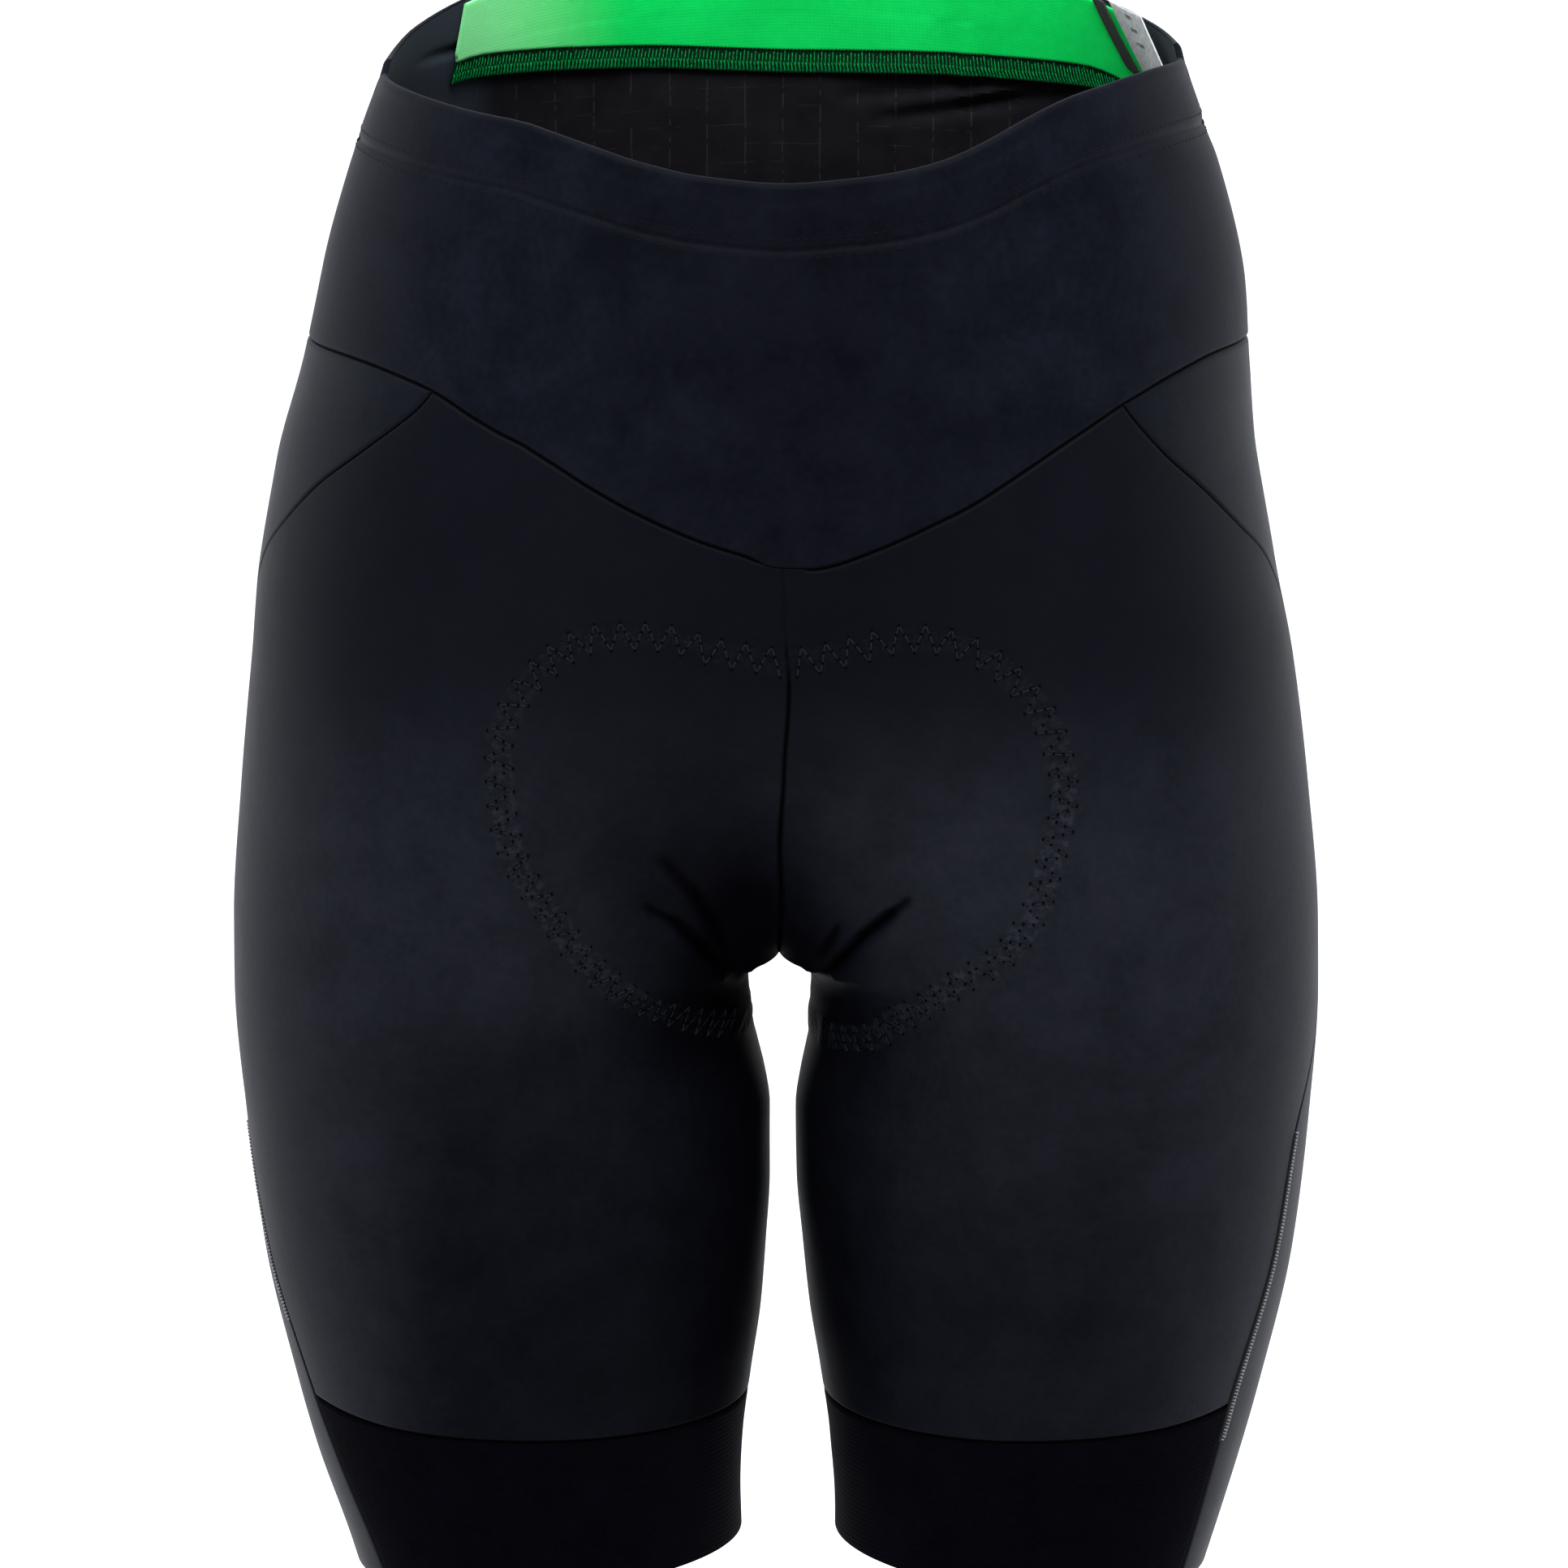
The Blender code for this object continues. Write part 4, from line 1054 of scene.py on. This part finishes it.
def facing_knit(name):
    """Soft bright green knit, painted paler towards its wearer's right end as a painted highlight, dark under
    its overlocked foot.
    """
    n = Nodes(name)
    place = n.place()
    x, _ = n.split(place)
    weave = n.uv("weave")
    up, _ = n.split(n.uv("foot"))
    mottle = n.noise(place, 28.0, 3.0)
    fine = n.noise(place, 300.0, 3.0)
    both = n.math("MULTIPLY_ADD", fine, 0.35, n.math("MULTIPLY", mottle, 0.65))
    colour = n.ramp(both, [(0.3, (0.0003, 0.64, 0.095)), (0.7, (0.0012, 0.80, 0.130))])
    # painted highlight: paler green towards the wearer's right end
    pale = n.add("ShaderNodeMapRange", interpolation_type="SMOOTHSTEP")
    pale.inputs["From Min"].default_value = -0.050
    pale.inputs["From Max"].default_value = -0.112
    n.link(x, pale.inputs["Value"])
    colour = n.mix(n.math("MULTIPLY", pale.outputs["Result"], 0.75), colour, (0.36, 0.97, 0.44))
    foot = n.add("ShaderNodeMapRange", interpolation_type="SMOOTHSTEP")
    foot.inputs["From Min"].default_value = 0.082
    foot.inputs["From Max"].default_value = 0.068
    n.link(up, foot.inputs["Value"])
    colour = n.mix(foot.outputs["Result"], colour, (0.0005, 0.019, 0.006))
    normal = knit_bump(n, weave, 0.0013, 0.5)
    normal = n.bump(mottle, 0.25, 0.002, normal)
    return n.finish(colour, 0.62, normal, 0.10, 0.03, (0.7, 1.0, 0.8))


def tape(name, base, other, ink=None):
    """Narrow woven tape; ink adds plain bars across it."""
    n = Nodes(name)
    place = n.place()
    weave = n.uv("weave")
    u, v = n.split(weave)
    fine = n.noise(place, 500.0, 2.0)
    colour = n.ramp(fine, [(0.3, base), (0.7, other)])
    if ink is not None:
        for down, half_wide in ((0.0028, 0.0019), (0.0082, 0.0027), (0.0142, 0.0034)):
            high = n.math("LESS_THAN", n.math("ABSOLUTE", n.math("ADD", v, down)), 0.0008)
            wide = n.math("LESS_THAN", n.math("ABSOLUTE", u), half_wide)
            broken = n.math("GREATER_THAN", n.noise(place, 330.0, 1.0), 0.36)
            mark = n.math("MULTIPLY", n.math("MULTIPLY", high, wide), broken)
            colour = n.mix(n.math("MULTIPLY", mark, 0.85), colour, ink)
    height = n.math("ADD", ribs(n, u, 0.0007), ribs(n, v, 0.0007))
    normal = n.bump(height, 0.3, 0.0001)
    return n.finish(colour, 0.55, normal, 0.35, 0.1, (1.0, 1.0, 1.0))


def thread(name, colour, other, roughness=0.5, sheen=0.3, specular=0.35):
    """Twisted sewing thread."""
    n = Nodes(name)
    fine = n.noise(n.place(), 1400.0, 2.0)
    mixed = n.ramp(fine, [(0.35, colour), (0.65, other)])
    normal = n.bump(fine, 0.4, 0.0001)
    return n.finish(mixed, roughness, normal, specular, sheen, (0.9, 0.92, 1.0))


def floor_material():
    n = Nodes("floor_paint")
    place = n.place()
    soft = n.noise(place, 1.5, 2.0)
    colour = n.ramp(soft, [(0.3, (0.90, 0.90, 0.905)), (0.7, (0.93, 0.93, 0.935))])
    # painted shadow: the floor is painted grey under the shorts, which also sends less light up to them
    away = n.add("ShaderNodeVectorMath", operation="LENGTH")
    n.link(place, away.inputs[0])
    near = n.add("ShaderNodeMapRange", interpolation_type="SMOOTHSTEP")
    near.inputs["From Min"].default_value = 1.65
    near.inputs["From Max"].default_value = 0.55
    n.link(away.outputs["Value"], near.inputs["Value"])
    colour = n.mix(n.math("MULTIPLY", near.outputs["Result"], 0.9), colour, (0.30, 0.30, 0.31))
    return n.finish(colour, 0.9, None, 0.1, 0.0, (1.0, 1.0, 1.0))


# ---------------------------------------------------------------------------
# Threads
# ---------------------------------------------------------------------------
def stitch_mesh(starts, ends, normals, radius, lift, sides=6):
    """Short raised stitches, each a bent tube closed at both ends, its ends sunk in the cloth."""
    starts, ends, normals = (np.asarray(v, float) for v in (starts, ends, normals))
    count = len(starts)
    way = ends - starts
    way /= np.maximum(np.linalg.norm(way, axis=1, keepdims=True), 1e-9)
    side = np.cross(normals, way)
    side /= np.maximum(np.linalg.norm(side, axis=1, keepdims=True), 1e-9)
    up = np.cross(way, side)
    profile = [(0.0, -0.55, 0.6), (0.14, 0.55, 1.0), (0.5, 1.0, 1.08), (0.86, 0.55, 1.0), (1.0, -0.55, 0.6)]
    rings = []
    for t, high, fat in profile:
        centre = starts + (ends - starts) * t + up * (lift * high)
        for k in range(sides):
            a = 2 * math.pi * k / sides
            rings.append(centre + radius * fat * (math.cos(a) * side + 0.8 * math.sin(a) * up))
    points = np.stack(rings, axis=1).reshape(count, len(profile), sides, 3)
    vertices = points.reshape(-1, 3)
    per = len(profile) * sides
    local = []
    for r in range(len(profile) - 1):
        for k in range(sides):
            a, b = r * sides + k, r * sides + (k + 1) % sides
            local.append((a, b, b + sides, a + sides))
    faces = (np.array(local)[None] + np.arange(count)[:, None, None] * per).reshape(-1, 4).tolist()
    first, final = list(range(sides))[::-1], list(range(per - sides, per))
    for s in range(count):
        faces.append([s * per + v for v in first])
        faces.append([s * per + v for v in final])
    return vertices, faces


def add_threads(name, starts, ends, normals, radius, lift, material, sides=6):
    vertices, faces = stitch_mesh(starts, ends, normals, radius, lift, sides)
    piece = add_mesh(name, vertices, faces, [material], None, 0.0)
    return piece


def resample(points, others, pitch):
    """Places every pitch along a run of points, with other values read at the same places."""
    travelled = travelled_along(points)
    count = max(int(travelled[-1] / pitch), 1)
    wanted = np.linspace(0, travelled[-1], count + 1)
    out = [
        np.stack([np.interp(wanted, travelled, v[:, k]) for k in range(3)], axis=1)
        for v in [points] + others
    ]
    return out


def front_surface(x, z, face="front"):
    """Point and outward direction of the plain cloth at x from the centre seam and z."""
    shift = SHIFT.read("shift", z)
    along = x
    for _ in range(4):
        along = x + shift * (1 - ease(1 - np.abs(along) / SECTION.read("fullest", z)))
    ax = np.abs(along)
    h = 0.05
    d = depth(ax, z, face)
    dx = (depth(ax + h, z, face) - depth(np.maximum(ax - h, half_gap(z)), z, face)) / (2 * h)
    dz = (depth(ax, z + h, face) - depth(ax, z - h, face)) / (2 * h)
    s = -1.0 if face == "front" else 1.0
    normal = np.stack([-dx * np.sign(x), np.full_like(x, s), -dz], axis=-1)
    normal /= np.linalg.norm(normal, axis=-1, keepdims=True)
    point = np.stack([x + SECTION.read("lean", z) + shift, s * d, z], axis=-1)
    return point, normal


def on_cloth(x, z, face="front"):
    """The same on the cloth with its relief."""
    point, normal = front_surface(x, z, face)
    height = pad_relief(point) + soft_waver(point) - crease_relief(point)
    return point + height[:, None] * normal, normal


def pad_stitches(half_sign, face):
    """Three-step zigzag stitches along the pad's outline on one half, and their needle holes."""
    turn = np.radians(np.linspace(1.0, 168.0, 900))
    reach = PAD.read("l" if half_sign > 0 else "r", np.degrees(turn)) - 0.5 * PAD_BAND
    x, z = reach * np.sin(turn), PAD_CENTRE_Z + reach * np.cos(turn)
    keep = x > half_gap(z) + 1.5
    x, z = x[keep], z[keep]
    line, _ = front_surface(x, z, face)
    travelled = travelled_along(line)
    pitch = 7.6
    steps = int(travelled[-1] / (pitch / 6))
    wanted = np.linspace(0, travelled[-1], steps + 1)
    cx, cz = np.interp(wanted, travelled, x), np.interp(wanted, travelled, z)
    tx, tz = np.gradient(cx), np.gradient(cz)
    size = np.hypot(tx, tz)
    ox, oz = -tz / size, tx / size
    phase = np.arange(steps + 1) % 6
    lateral = np.choose(phase, [-1.0, -0.34, 0.34, 1.0, 0.34, -0.34]) * 0.5 * PAD_BAND
    px, pz = cx + ox * lateral, cz + oz * lateral
    px = np.maximum(px, half_gap(pz) + 0.6)
    points, normals = on_cloth(half_sign * px, pz, face)
    middle = 0.5 * (normals[1:] + normals[:-1])
    return points, normals, middle


def add_pad_threads(garment):
    stitch = thread("pad_thread", (0.0045, 0.005, 0.008), (0.009, 0.010, 0.014), 0.5, 0.03, 0.08)
    # painted shade: the needle holes are near-black marks laid on the cloth
    hole = thread("needle_hole", (0.0008, 0.0008, 0.001), (0.0016, 0.0016, 0.002), 0.9, 0.0, 0.02)
    starts, ends, ups, holes, hole_ups = [], [], [], [], []
    for face in ("front", "back"):
        for sign in (1, -1):
            points, normals, middle = pad_stitches(sign, face)
            starts.append(points[:-1])
            ends.append(points[1:])
            ups.append(middle)
            holes.append(points)
            hole_ups.append(normals)
    starts, ends, ups = np.vstack(starts), np.vstack(ends), np.vstack(ups)
    add_threads("pad_stitches", starts, ends, ups, 0.24, 0.26, stitch)
    holes, hole_ups = np.vstack(holes), np.vstack(hole_ups)
    side = np.cross(hole_ups, np.array([0.0, 0.0, 1.0]))
    side /= np.maximum(np.linalg.norm(side, axis=1, keepdims=True), 1e-6)
    add_threads(
        "pad_needle_holes", holes - 0.42 * side, holes + 0.42 * side, hole_ups, 0.5, 0.06, hole,
        6
    )


def garment_line(garment, stations, first, last):
    """Outer-face points and directions on some columns and rows."""
    points, normals = garment.pick(stations, first, last)
    rise, shift = relief(points, np.arange(first, last + 1, dtype=float))
    return points + (rise + shift)[..., None] * normals, normals


def add_side_seam_threads(garment):
    """Overlock stitches that show beside the side panels' front seams on the thigh, in a light grey
    thread made paler still as a painted highlight; on the wearer's left a dark tube lies in the
    seam's gap as a painted shadow.
    """
    # light grey thread, partly painted highlight; near-black tube, painted shadow in the seam's gap
    pale = thread("side_seam_thread", (0.10, 0.105, 0.12), (0.24, 0.25, 0.28), 0.45, 0.1)
    dark = thread("side_seam_gap_painted_shadow", (0.0015, 0.0015, 0.002), (0.003, 0.003, 0.0035), 0.9, 0.0)
    starts, ends, ups = [], [], []
    gap_starts, gap_ends, gap_ups = [], [], []
    for half in (0, 1):
        columns = list(range(FRONT_COLUMNS - FINE, FRONT_COLUMNS + 2 * FINE + 1))
        points, normals = garment_line(garment, garment.stations(half, columns), 0, garment.row_count - 1)
        k = columns.index(FRONT_COLUMNS)
        z = points[:, k, 2]
        rows = np.where((z < -337.0) & (z > (-440.0 if half == 0 else -404.0)))[0]
        seam, up = points[rows, k], normals[rows, k]
        inward = points[rows, k + 2] - seam
        inward /= np.linalg.norm(inward, axis=1, keepdims=True)
        seam, up, inward = resample(seam, [up, inward], 1.15)
        tangent = np.gradient(seam, axis=0)
        tangent /= np.linalg.norm(tangent, axis=1, keepdims=True)
        starts.append(seam + 0.9 * inward - 0.4 * tangent)
        ends.append(seam + 3.1 * inward + 0.5 * tangent)
        ups.append(up)
        starts.append((seam + 3.1 * inward)[:-1])
        ends.append((seam + 3.1 * inward)[1:])
        ups.append(up[1:])
        if half == 1:
            continue
        # painted shadow: a dark tube along the seam's gap on the wearer's left
        gap_starts.append((seam + 0.1 * inward - 0.1 * up)[:-1])
        gap_ends.append((seam + 0.1 * inward - 0.1 * up)[1:] + 0.2 * tangent[1:])
        gap_ups.append(up[1:])
    add_threads(
        "side_seam_stitches", np.vstack(starts), np.vstack(ends), np.vstack(ups), 0.26, 0.3, pale,
    )
    add_threads(
        "side_seam_shadow", np.vstack(gap_starts), np.vstack(gap_ends), np.vstack(gap_ups), 0.75, 0.0,
        dark
    )


def add_casing_stitches(garment):
    """A fine row of stitches that holds the waist fold down, all round."""
    line = thread("casing_thread", (0.0026, 0.0032, 0.0055), (0.0056, 0.0066, 0.0105), 0.6, 0.02, 0.04)
    columns = [c for c in range(0, garment.last + 1)]
    starts, ends, ups = [], [], []
    for half in (0, 1):
        stations, foot = garment.stations(half, columns), garment.line["casing_foot"]
        points, normals = garment_line(garment, stations, 0, foot + 2)
        for row, pitch in ((garment.line["casing_line"] - 1, 2.7), (garment.line["casing_foot"] + 1, 3.1)):
            path, up = resample(points[row], [normals[row]], pitch)
            way = np.diff(path, axis=0)
            starts.append(path[:-1] + 0.2 * way)
            ends.append(path[1:] - 0.2 * way)
            ups.append(up[:-1])
    starts, ends, ups = np.vstack(starts), np.vstack(ends), np.vstack(ups)
    add_threads("casing_stitches", starts, ends, ups, 0.17, 0.1, line)


# ---------------------------------------------------------------------------
# Pieces on the inside of the back
# ---------------------------------------------------------------------------
def inner_back(garment):
    """Points and outward directions across the back, and the column at each distance across."""
    first = FRONT_COLUMNS
    wide = garment.stations(1, range(first, garment.last)) + garment.stations(
        0, range(garment.last, first - 1, -1)
    )
    points, normals = garment.pick(wide, 0, garment.line["yoke_seam"])
    middle = 2 * FINE
    behind = [k for k in range(points.shape[1]) if points[middle, k, 1] > 0]
    points, normals = points[:, behind], normals[:, behind]
    index = np.arange(len(behind), dtype=float)
    return points, normals, lambda x: np.interp(x, points[middle, :, 0], index)


def slanted(back, spec):
    """Rows and columns of a sheet whose ends lie further across at its foot than at its top."""
    down, over = spec["cells"]
    top, foot = np.array(back[2](spec["top"])), np.array(back[2](spec["foot"]))
    t = np.linspace(0, 1, down + 1)[:, None]
    ends = top + (foot - top) * t
    across = np.linspace(0, 1, over + 1)[None]
    columns = ends[:, :1] * (1 - across) + ends[:, 1:] * across
    return FINE * np.linspace(*spec["rows"], down + 1), columns


def laid_sheet(back, node, rows, columns, near, thick, material, cut, shape, drop=None):
    """A sheet that follows the inner face of the back; shape lifts it off, drop moves it down."""
    place, way = sample(back[0], rows, columns), sample(back[1], rows, columns)
    way /= np.linalg.norm(way, axis=-1, keepdims=True)
    down = np.linspace(0, 1, place.shape[0])[:, None]
    over = np.linspace(0, 1, place.shape[1])[None]
    if drop is not None:
        place = place - drop(down, over)[..., None] * np.array([0.0, 0.0, 1.0])
    place = place + soft_waver(place)[..., None] * way
    lift = near + shape(down, over)
    top, under = place - lift[..., None] * way, place - (lift + thick)[..., None] * way
    vertices, faces, source, _ = wall_mesh(top, under, (True, True))
    foot = np.linalg.norm(place - place[-1:], axis=-1)
    maps = {"weave": surface_map(place), "foot": np.stack([foot * MM * 10, over + 0 * foot], axis=-1)}
    maps = {name: values.reshape(-1, 2)[source] for name, values in maps.items()}
    piece = add_mesh("cloth_" + node, vertices, faces, [material], maps)
    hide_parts(node)
    return under, -way


def facing_shape(down, over):
    """Slight waves in the facing; none at the top edge, where it is sewn in."""
    wave = 0.35 * np.sin(over * 21.0) * down + 0.5 * np.sin(over * 9.0 + 1.0) * down**2
    right = 0.5 * np.sin((over * 70.0 + down * 5.0)) * ease((over - 0.72) / 0.1) * ease((0.95 - over) / 0.05)
    return np.clip(0.3 + wave + right * down, 0.0, None) * np.clip(down * 3, 0, 1)


def facing_drop(down, over):
    """The facing's foot hangs lower on the wearer's left."""
    return down**2 * (3.6 * (over - 0.5) - 0.6)


def add_facing(back):
    count = (30, 170)
    high, low, right = back[2]((FACING_ENDS[0] - 5.5, FACING_ENDS[0] - 2.0, FACING_ENDS[1]))
    rows = FINE * np.linspace(0.1, 5.0, count[0])
    across = np.linspace(0, 1, count[1])[None]
    columns = np.linspace(high, low, count[0])[:, None] * (1 - across) + right * across
    inner, way = laid_sheet(
        back, "facing", rows, columns, WALL + LAY_GAP, FACING_WALL, facing_knit("green_facing"),
        CUTS["facing"], facing_shape, facing_drop
    )
    dark = thread("facing_overlock_dark", (0.001, 0.012, 0.004), (0.002, 0.040, 0.012), 0.6, 0.0, 0.04)
    light = thread("facing_overlock_light", (0.001, 0.11, 0.030), (0.003, 0.42, 0.085), 0.6, 0.0, 0.08)
    foot, higher, out = inner[-1], inner[-7], way[-1]
    along, ups, rise = resample(foot, [out, higher - foot], 1.25)
    rise /= np.linalg.norm(rise, axis=1, keepdims=True)
    tangent = np.gradient(along, axis=0)
    tangent /= np.linalg.norm(tangent, axis=1, keepdims=True)
    count = len(along)
    uneven = (0.5 * np.sin(np.arange(count) * 2.4) + 0.3 * np.sin(np.arange(count) * 5.7))[:, None]
    loops_from = np.vstack([along - 0.6 * rise, along - 0.3 * rise + 0.55 * tangent])
    loops_to = np.vstack([along + (6.4 + uneven) * rise + 0.4 * tangent, along + 3.4 * rise - 0.3 * tangent])
    add_threads("facing_overlock", loops_from, loops_to, np.vstack([ups, ups]), 0.2, 0.26, light)
    starts, ends, sides = [], [], []
    for level, size in ((-0.3, 0.5), (3.3, 0.35), (7.2, 0.7)):
        line = along + level * rise
        starts.append((line - size * tangent * 0.8)[:-1])
        ends.append((line + size * tangent * 0.8)[:-1] + 0.2 * rise[:-1])
        sides.append(ups[:-1])
    add_threads(
        "facing_overlock_chain", np.vstack(starts), np.vstack(ends), np.vstack(sides), 0.27, 0.34, dark,
    )


def label_shape(down, over):
    return 0.4 + 1.6 * np.sin(math.pi * over) * (0.3 + 0.7 * down) + 0.8 * (1 - down) * over


def label_drop(down, over):
    """The label stands up a little past the waist edge."""
    return -2.4 * (1 - down) ** 2 * (0.5 + 0.5 * over)


def strip_shape(down, over):
    return 0.3 + 0.7 * np.sin(math.pi * down) * (0.6 + 0.4 * over)


def add_labels(back):
    near = WALL + FACING_WALL + 2 * LAY_GAP
    white = tape("label_tape", (0.42, 0.42, 0.45), (0.62, 0.62, 0.65), (0.05, 0.05, 0.055))
    black = tape("label_strip_tape", (0.0035, 0.0035, 0.004), (0.010, 0.010, 0.011))
    laid_sheet(back, "label", *slanted(back, LABEL), near, 0.5, white, CUTS["label"], label_shape, label_drop)
    laid_sheet(
        back, "label_strip", *slanted(back, LABEL_STRIP), near, 0.8, black, CUTS["label_strip"], strip_shape
    )


# ---------------------------------------------------------------------------
# The cloth pieces
# ---------------------------------------------------------------------------
CUTS = {
    "facing": {"flat": (0.27, 0.042), "area": 0.0085},
    "label": {"flat": (0.024, 0.026), "area": 0.00060},
    "label_strip": {"flat": (0.0105, 0.030), "area": 0.000165},
    "yoke_front": {"flat": (0.44, 0.155), "area": 0.0540},
    "yoke_back": {"flat": (0.19, 0.112), "area": 0.0155},
    "front_leg_l": {"flat": (0.25, 0.36), "area": 0.0650},
    "front_leg_r": {"flat": (0.25, 0.36), "area": 0.0650},
    "side_leg_l": {"flat": (0.14, 0.41), "area": 0.0300},
    "side_leg_r": {"flat": (0.14, 0.41), "area": 0.0300},
    "back_leg_l": {"flat": (0.25, 0.37), "area": 0.0630},
    "back_leg_r": {"flat": (0.25, 0.37), "area": 0.0630},
    "band_l": {"flat": (0.34, 0.058), "area": 0.0178},
    "band_r": {"flat": (0.34, 0.058), "area": 0.0178},
}
NAVY_DARK = (0.0022, 0.0027, 0.0054)
NAVY_LIGHT = (0.0052, 0.0060, 0.0114)
SIDE_DARK = (0.0022, 0.0028, 0.0056)
SIDE_LIGHT = (0.0048, 0.0058, 0.0108)
# painted shade: the legs' cloth fades to NAVY_LEG_TOP towards the top of the legs
NAVY_LEG_TOP = (0.0022, 0.0026, 0.0050)
LEG_TOP_FADE = {"foot": -0.235, "top": -0.165, "amount": 0.85}  # heights in metres
LEG_DARK = (0.0052, 0.0060, 0.0096)
LEG_LIGHT = (0.0104, 0.0114, 0.0172)


def add_outer_cloth(garment):
    navy = stretch_knit("navy_knit", NAVY_DARK, NAVY_LIGHT)
    navy_pad = stretch_knit("navy_pad_knit", LEG_DARK, LEG_LIGHT, pad=True)
    side_cloth = stretch_knit("side_knit", SIDE_DARK, SIDE_LIGHT, 0.48, 0.045, 0.035)
    brown = thread_grid_knit("thread_grid_knit")
    reverse = thread_grid_knit("yoke_reverse_knit", (0.0300, 0.0370, 0.0520))
    band_cloth = band_knit("band_knit")
    line = garment.line
    first, second = FRONT_COLUMNS, FRONT_COLUMNS + SIDE_COLUMNS
    across = garment.stations(1, range(second, 0, -1)) + garment.stations(0, range(second + 1))
    panel(garment, "yoke_front", across, 0, line["yoke_seam"], [navy, reverse], (2, 1))
    behind = garment.stations(1, range(second, garment.last)) + garment.stations(
        0, range(garment.last, second - 1, -1)
    )
    panel(garment, "yoke_back", behind, 0, line["yoke_seam"], [navy, brown], (2, 1))
    round_leg = list(range(first, -1, -1)) + list(range(garment.last - 1, second - 1, -1))
    for half, letter in ((0, "l"), (1, "r")):
        spans = (
            ("front_leg_", range(first + 1), "yoke_seam", "band_seam", navy_pad, (2, 2)),
            ("side_leg_", range(first, second + 1), "yoke_seam", "hem", side_cloth, (1, 1)),
            ("back_leg_", range(second, garment.last + 1), "yoke_seam", "band_seam", navy_pad, (2, 2)),
            ("band_", round_leg, "band_seam", "hem", band_cloth, (1, 1)),
        )
        for stem, columns, top, foot, cloth, finer in spans:
            stations = garment.stations(half, columns)
            panel(garment, stem + letter, stations, line[top], line[foot], [cloth], finer)


# ---------------------------------------------------------------------------
# Stage, light and camera
# ---------------------------------------------------------------------------
def add_floor():
    size, z = 40.0, -1.0
    mesh = bpy.data.meshes.new("floor")
    corners = [(-size, -size, z), (size, -size, z), (size, size, z), (-size, size, z)]
    mesh.from_pydata(corners, [], [(0, 1, 2, 3)])
    mesh.materials.append(floor_material())
    floor = bpy.data.objects.new("floor", mesh)
    bpy.context.scene.collection.objects.link(floor)


def add_area(name, place, target, size, power, colour=(1, 1, 1)):
    light = bpy.data.lights.new(name, "AREA")
    light.shape = "RECTANGLE"
    light.size, light.size_y = size
    light.energy = power
    light.color = colour
    lamp = bpy.data.objects.new(name, light)
    lamp.location = place
    lamp.rotation_euler = (Vector(target) - Vector(place)).to_track_quat("-Z", "Y").to_euler()
    bpy.context.scene.collection.objects.link(lamp)


def add_world():
    """Soft white studio all round, dimmer in front of the shorts than behind and beside them."""
    world = bpy.data.worlds.new("studio")
    bpy.context.scene.world = world
    world.use_nodes = True
    tree = world.node_tree
    background = tree.nodes["Background"]
    background.inputs["Color"].default_value = (0.97, 0.985, 1.0, 1.0)
    way = tree.nodes.new("ShaderNodeTexCoord")
    parts = tree.nodes.new("ShaderNodeSeparateXYZ")
    tree.links.new(way.outputs["Generated"], parts.inputs[0])
    behind = tree.nodes.new("ShaderNodeMapRange")
    behind.interpolation_type = "SMOOTHSTEP"
    for name, value in (("From Min", -0.70), ("From Max", 0.45), ("To Min", 0.25), ("To Max", 1.0)):
        behind.inputs[name].default_value = value
    tree.links.new(parts.outputs["Y"], behind.inputs["Value"])
    above = tree.nodes.new("ShaderNodeMapRange")
    above.interpolation_type = "SMOOTHSTEP"
    for name, value in (("From Min", 0.35), ("From Max", 0.95), ("To Min", 0.0), ("To Max", 0.5)):
        above.inputs[name].default_value = value
    tree.links.new(parts.outputs["Z"], above.inputs["Value"])
    total = tree.nodes.new("ShaderNodeMath")
    tree.links.new(behind.outputs["Result"], total.inputs[0])
    tree.links.new(above.outputs["Result"], total.inputs[1])
    tree.links.new(total.outputs[0], background.inputs["Strength"])


def add_lights():
    centre = (0.0, 0.0, -0.22)
    add_area("left_rim", (-1.5, 0.55, 0.10), centre, (0.9, 1.8), 4.0, (0.93, 0.97, 1.0))
    add_area("right_rim", (1.5, 0.55, 0.10), centre, (0.9, 1.8), 4.0, (0.93, 0.97, 1.0))
    add_area("front_top", (0.0, -1.3, 1.7), (0.0, 0.05, 0.0), (1.6, 1.0), 50.0, (0.97, 0.985, 1.0))
    light = bpy.data.lights.new("overhead", "SUN")
    light.energy = 1.6
    light.angle = math.radians(50.0)
    lamp = bpy.data.objects.new("overhead", light)
    lamp.rotation_euler = Vector((0.0, -0.35, -1.0)).to_track_quat("-Z", "Y").to_euler()
    bpy.context.scene.collection.objects.link(lamp)


def add_camera():
    away, rise, target = 2.2, math.radians(10.0), Vector((0.0, 0.0, -0.2297))
    camera = bpy.data.cameras.new("camera")
    camera.sensor_width = 36.0
    camera.lens = 36.0 * away / 0.5139
    camera.clip_start, camera.clip_end = 0.05, 200.0
    eye = bpy.data.objects.new("camera", camera)
    eye.location = target + Vector((0.0, -math.cos(rise) * away, math.sin(rise) * away))
    eye.rotation_euler = (target - eye.location).to_track_quat("-Z", "Y").to_euler()
    bpy.context.scene.collection.objects.link(eye)
    bpy.context.scene.camera = eye
    bpy.context.scene.view_settings.view_transform = "Standard"


def main():
    garment = Garment()
    add_outer_cloth(garment)
    back = inner_back(garment)
    add_facing(back)
    add_labels(back)
    add_pad_threads(garment)
    add_side_seam_threads(garment)
    add_casing_stitches(garment)
    add_floor()
    add_world()
    add_lights()
    add_camera()


main()
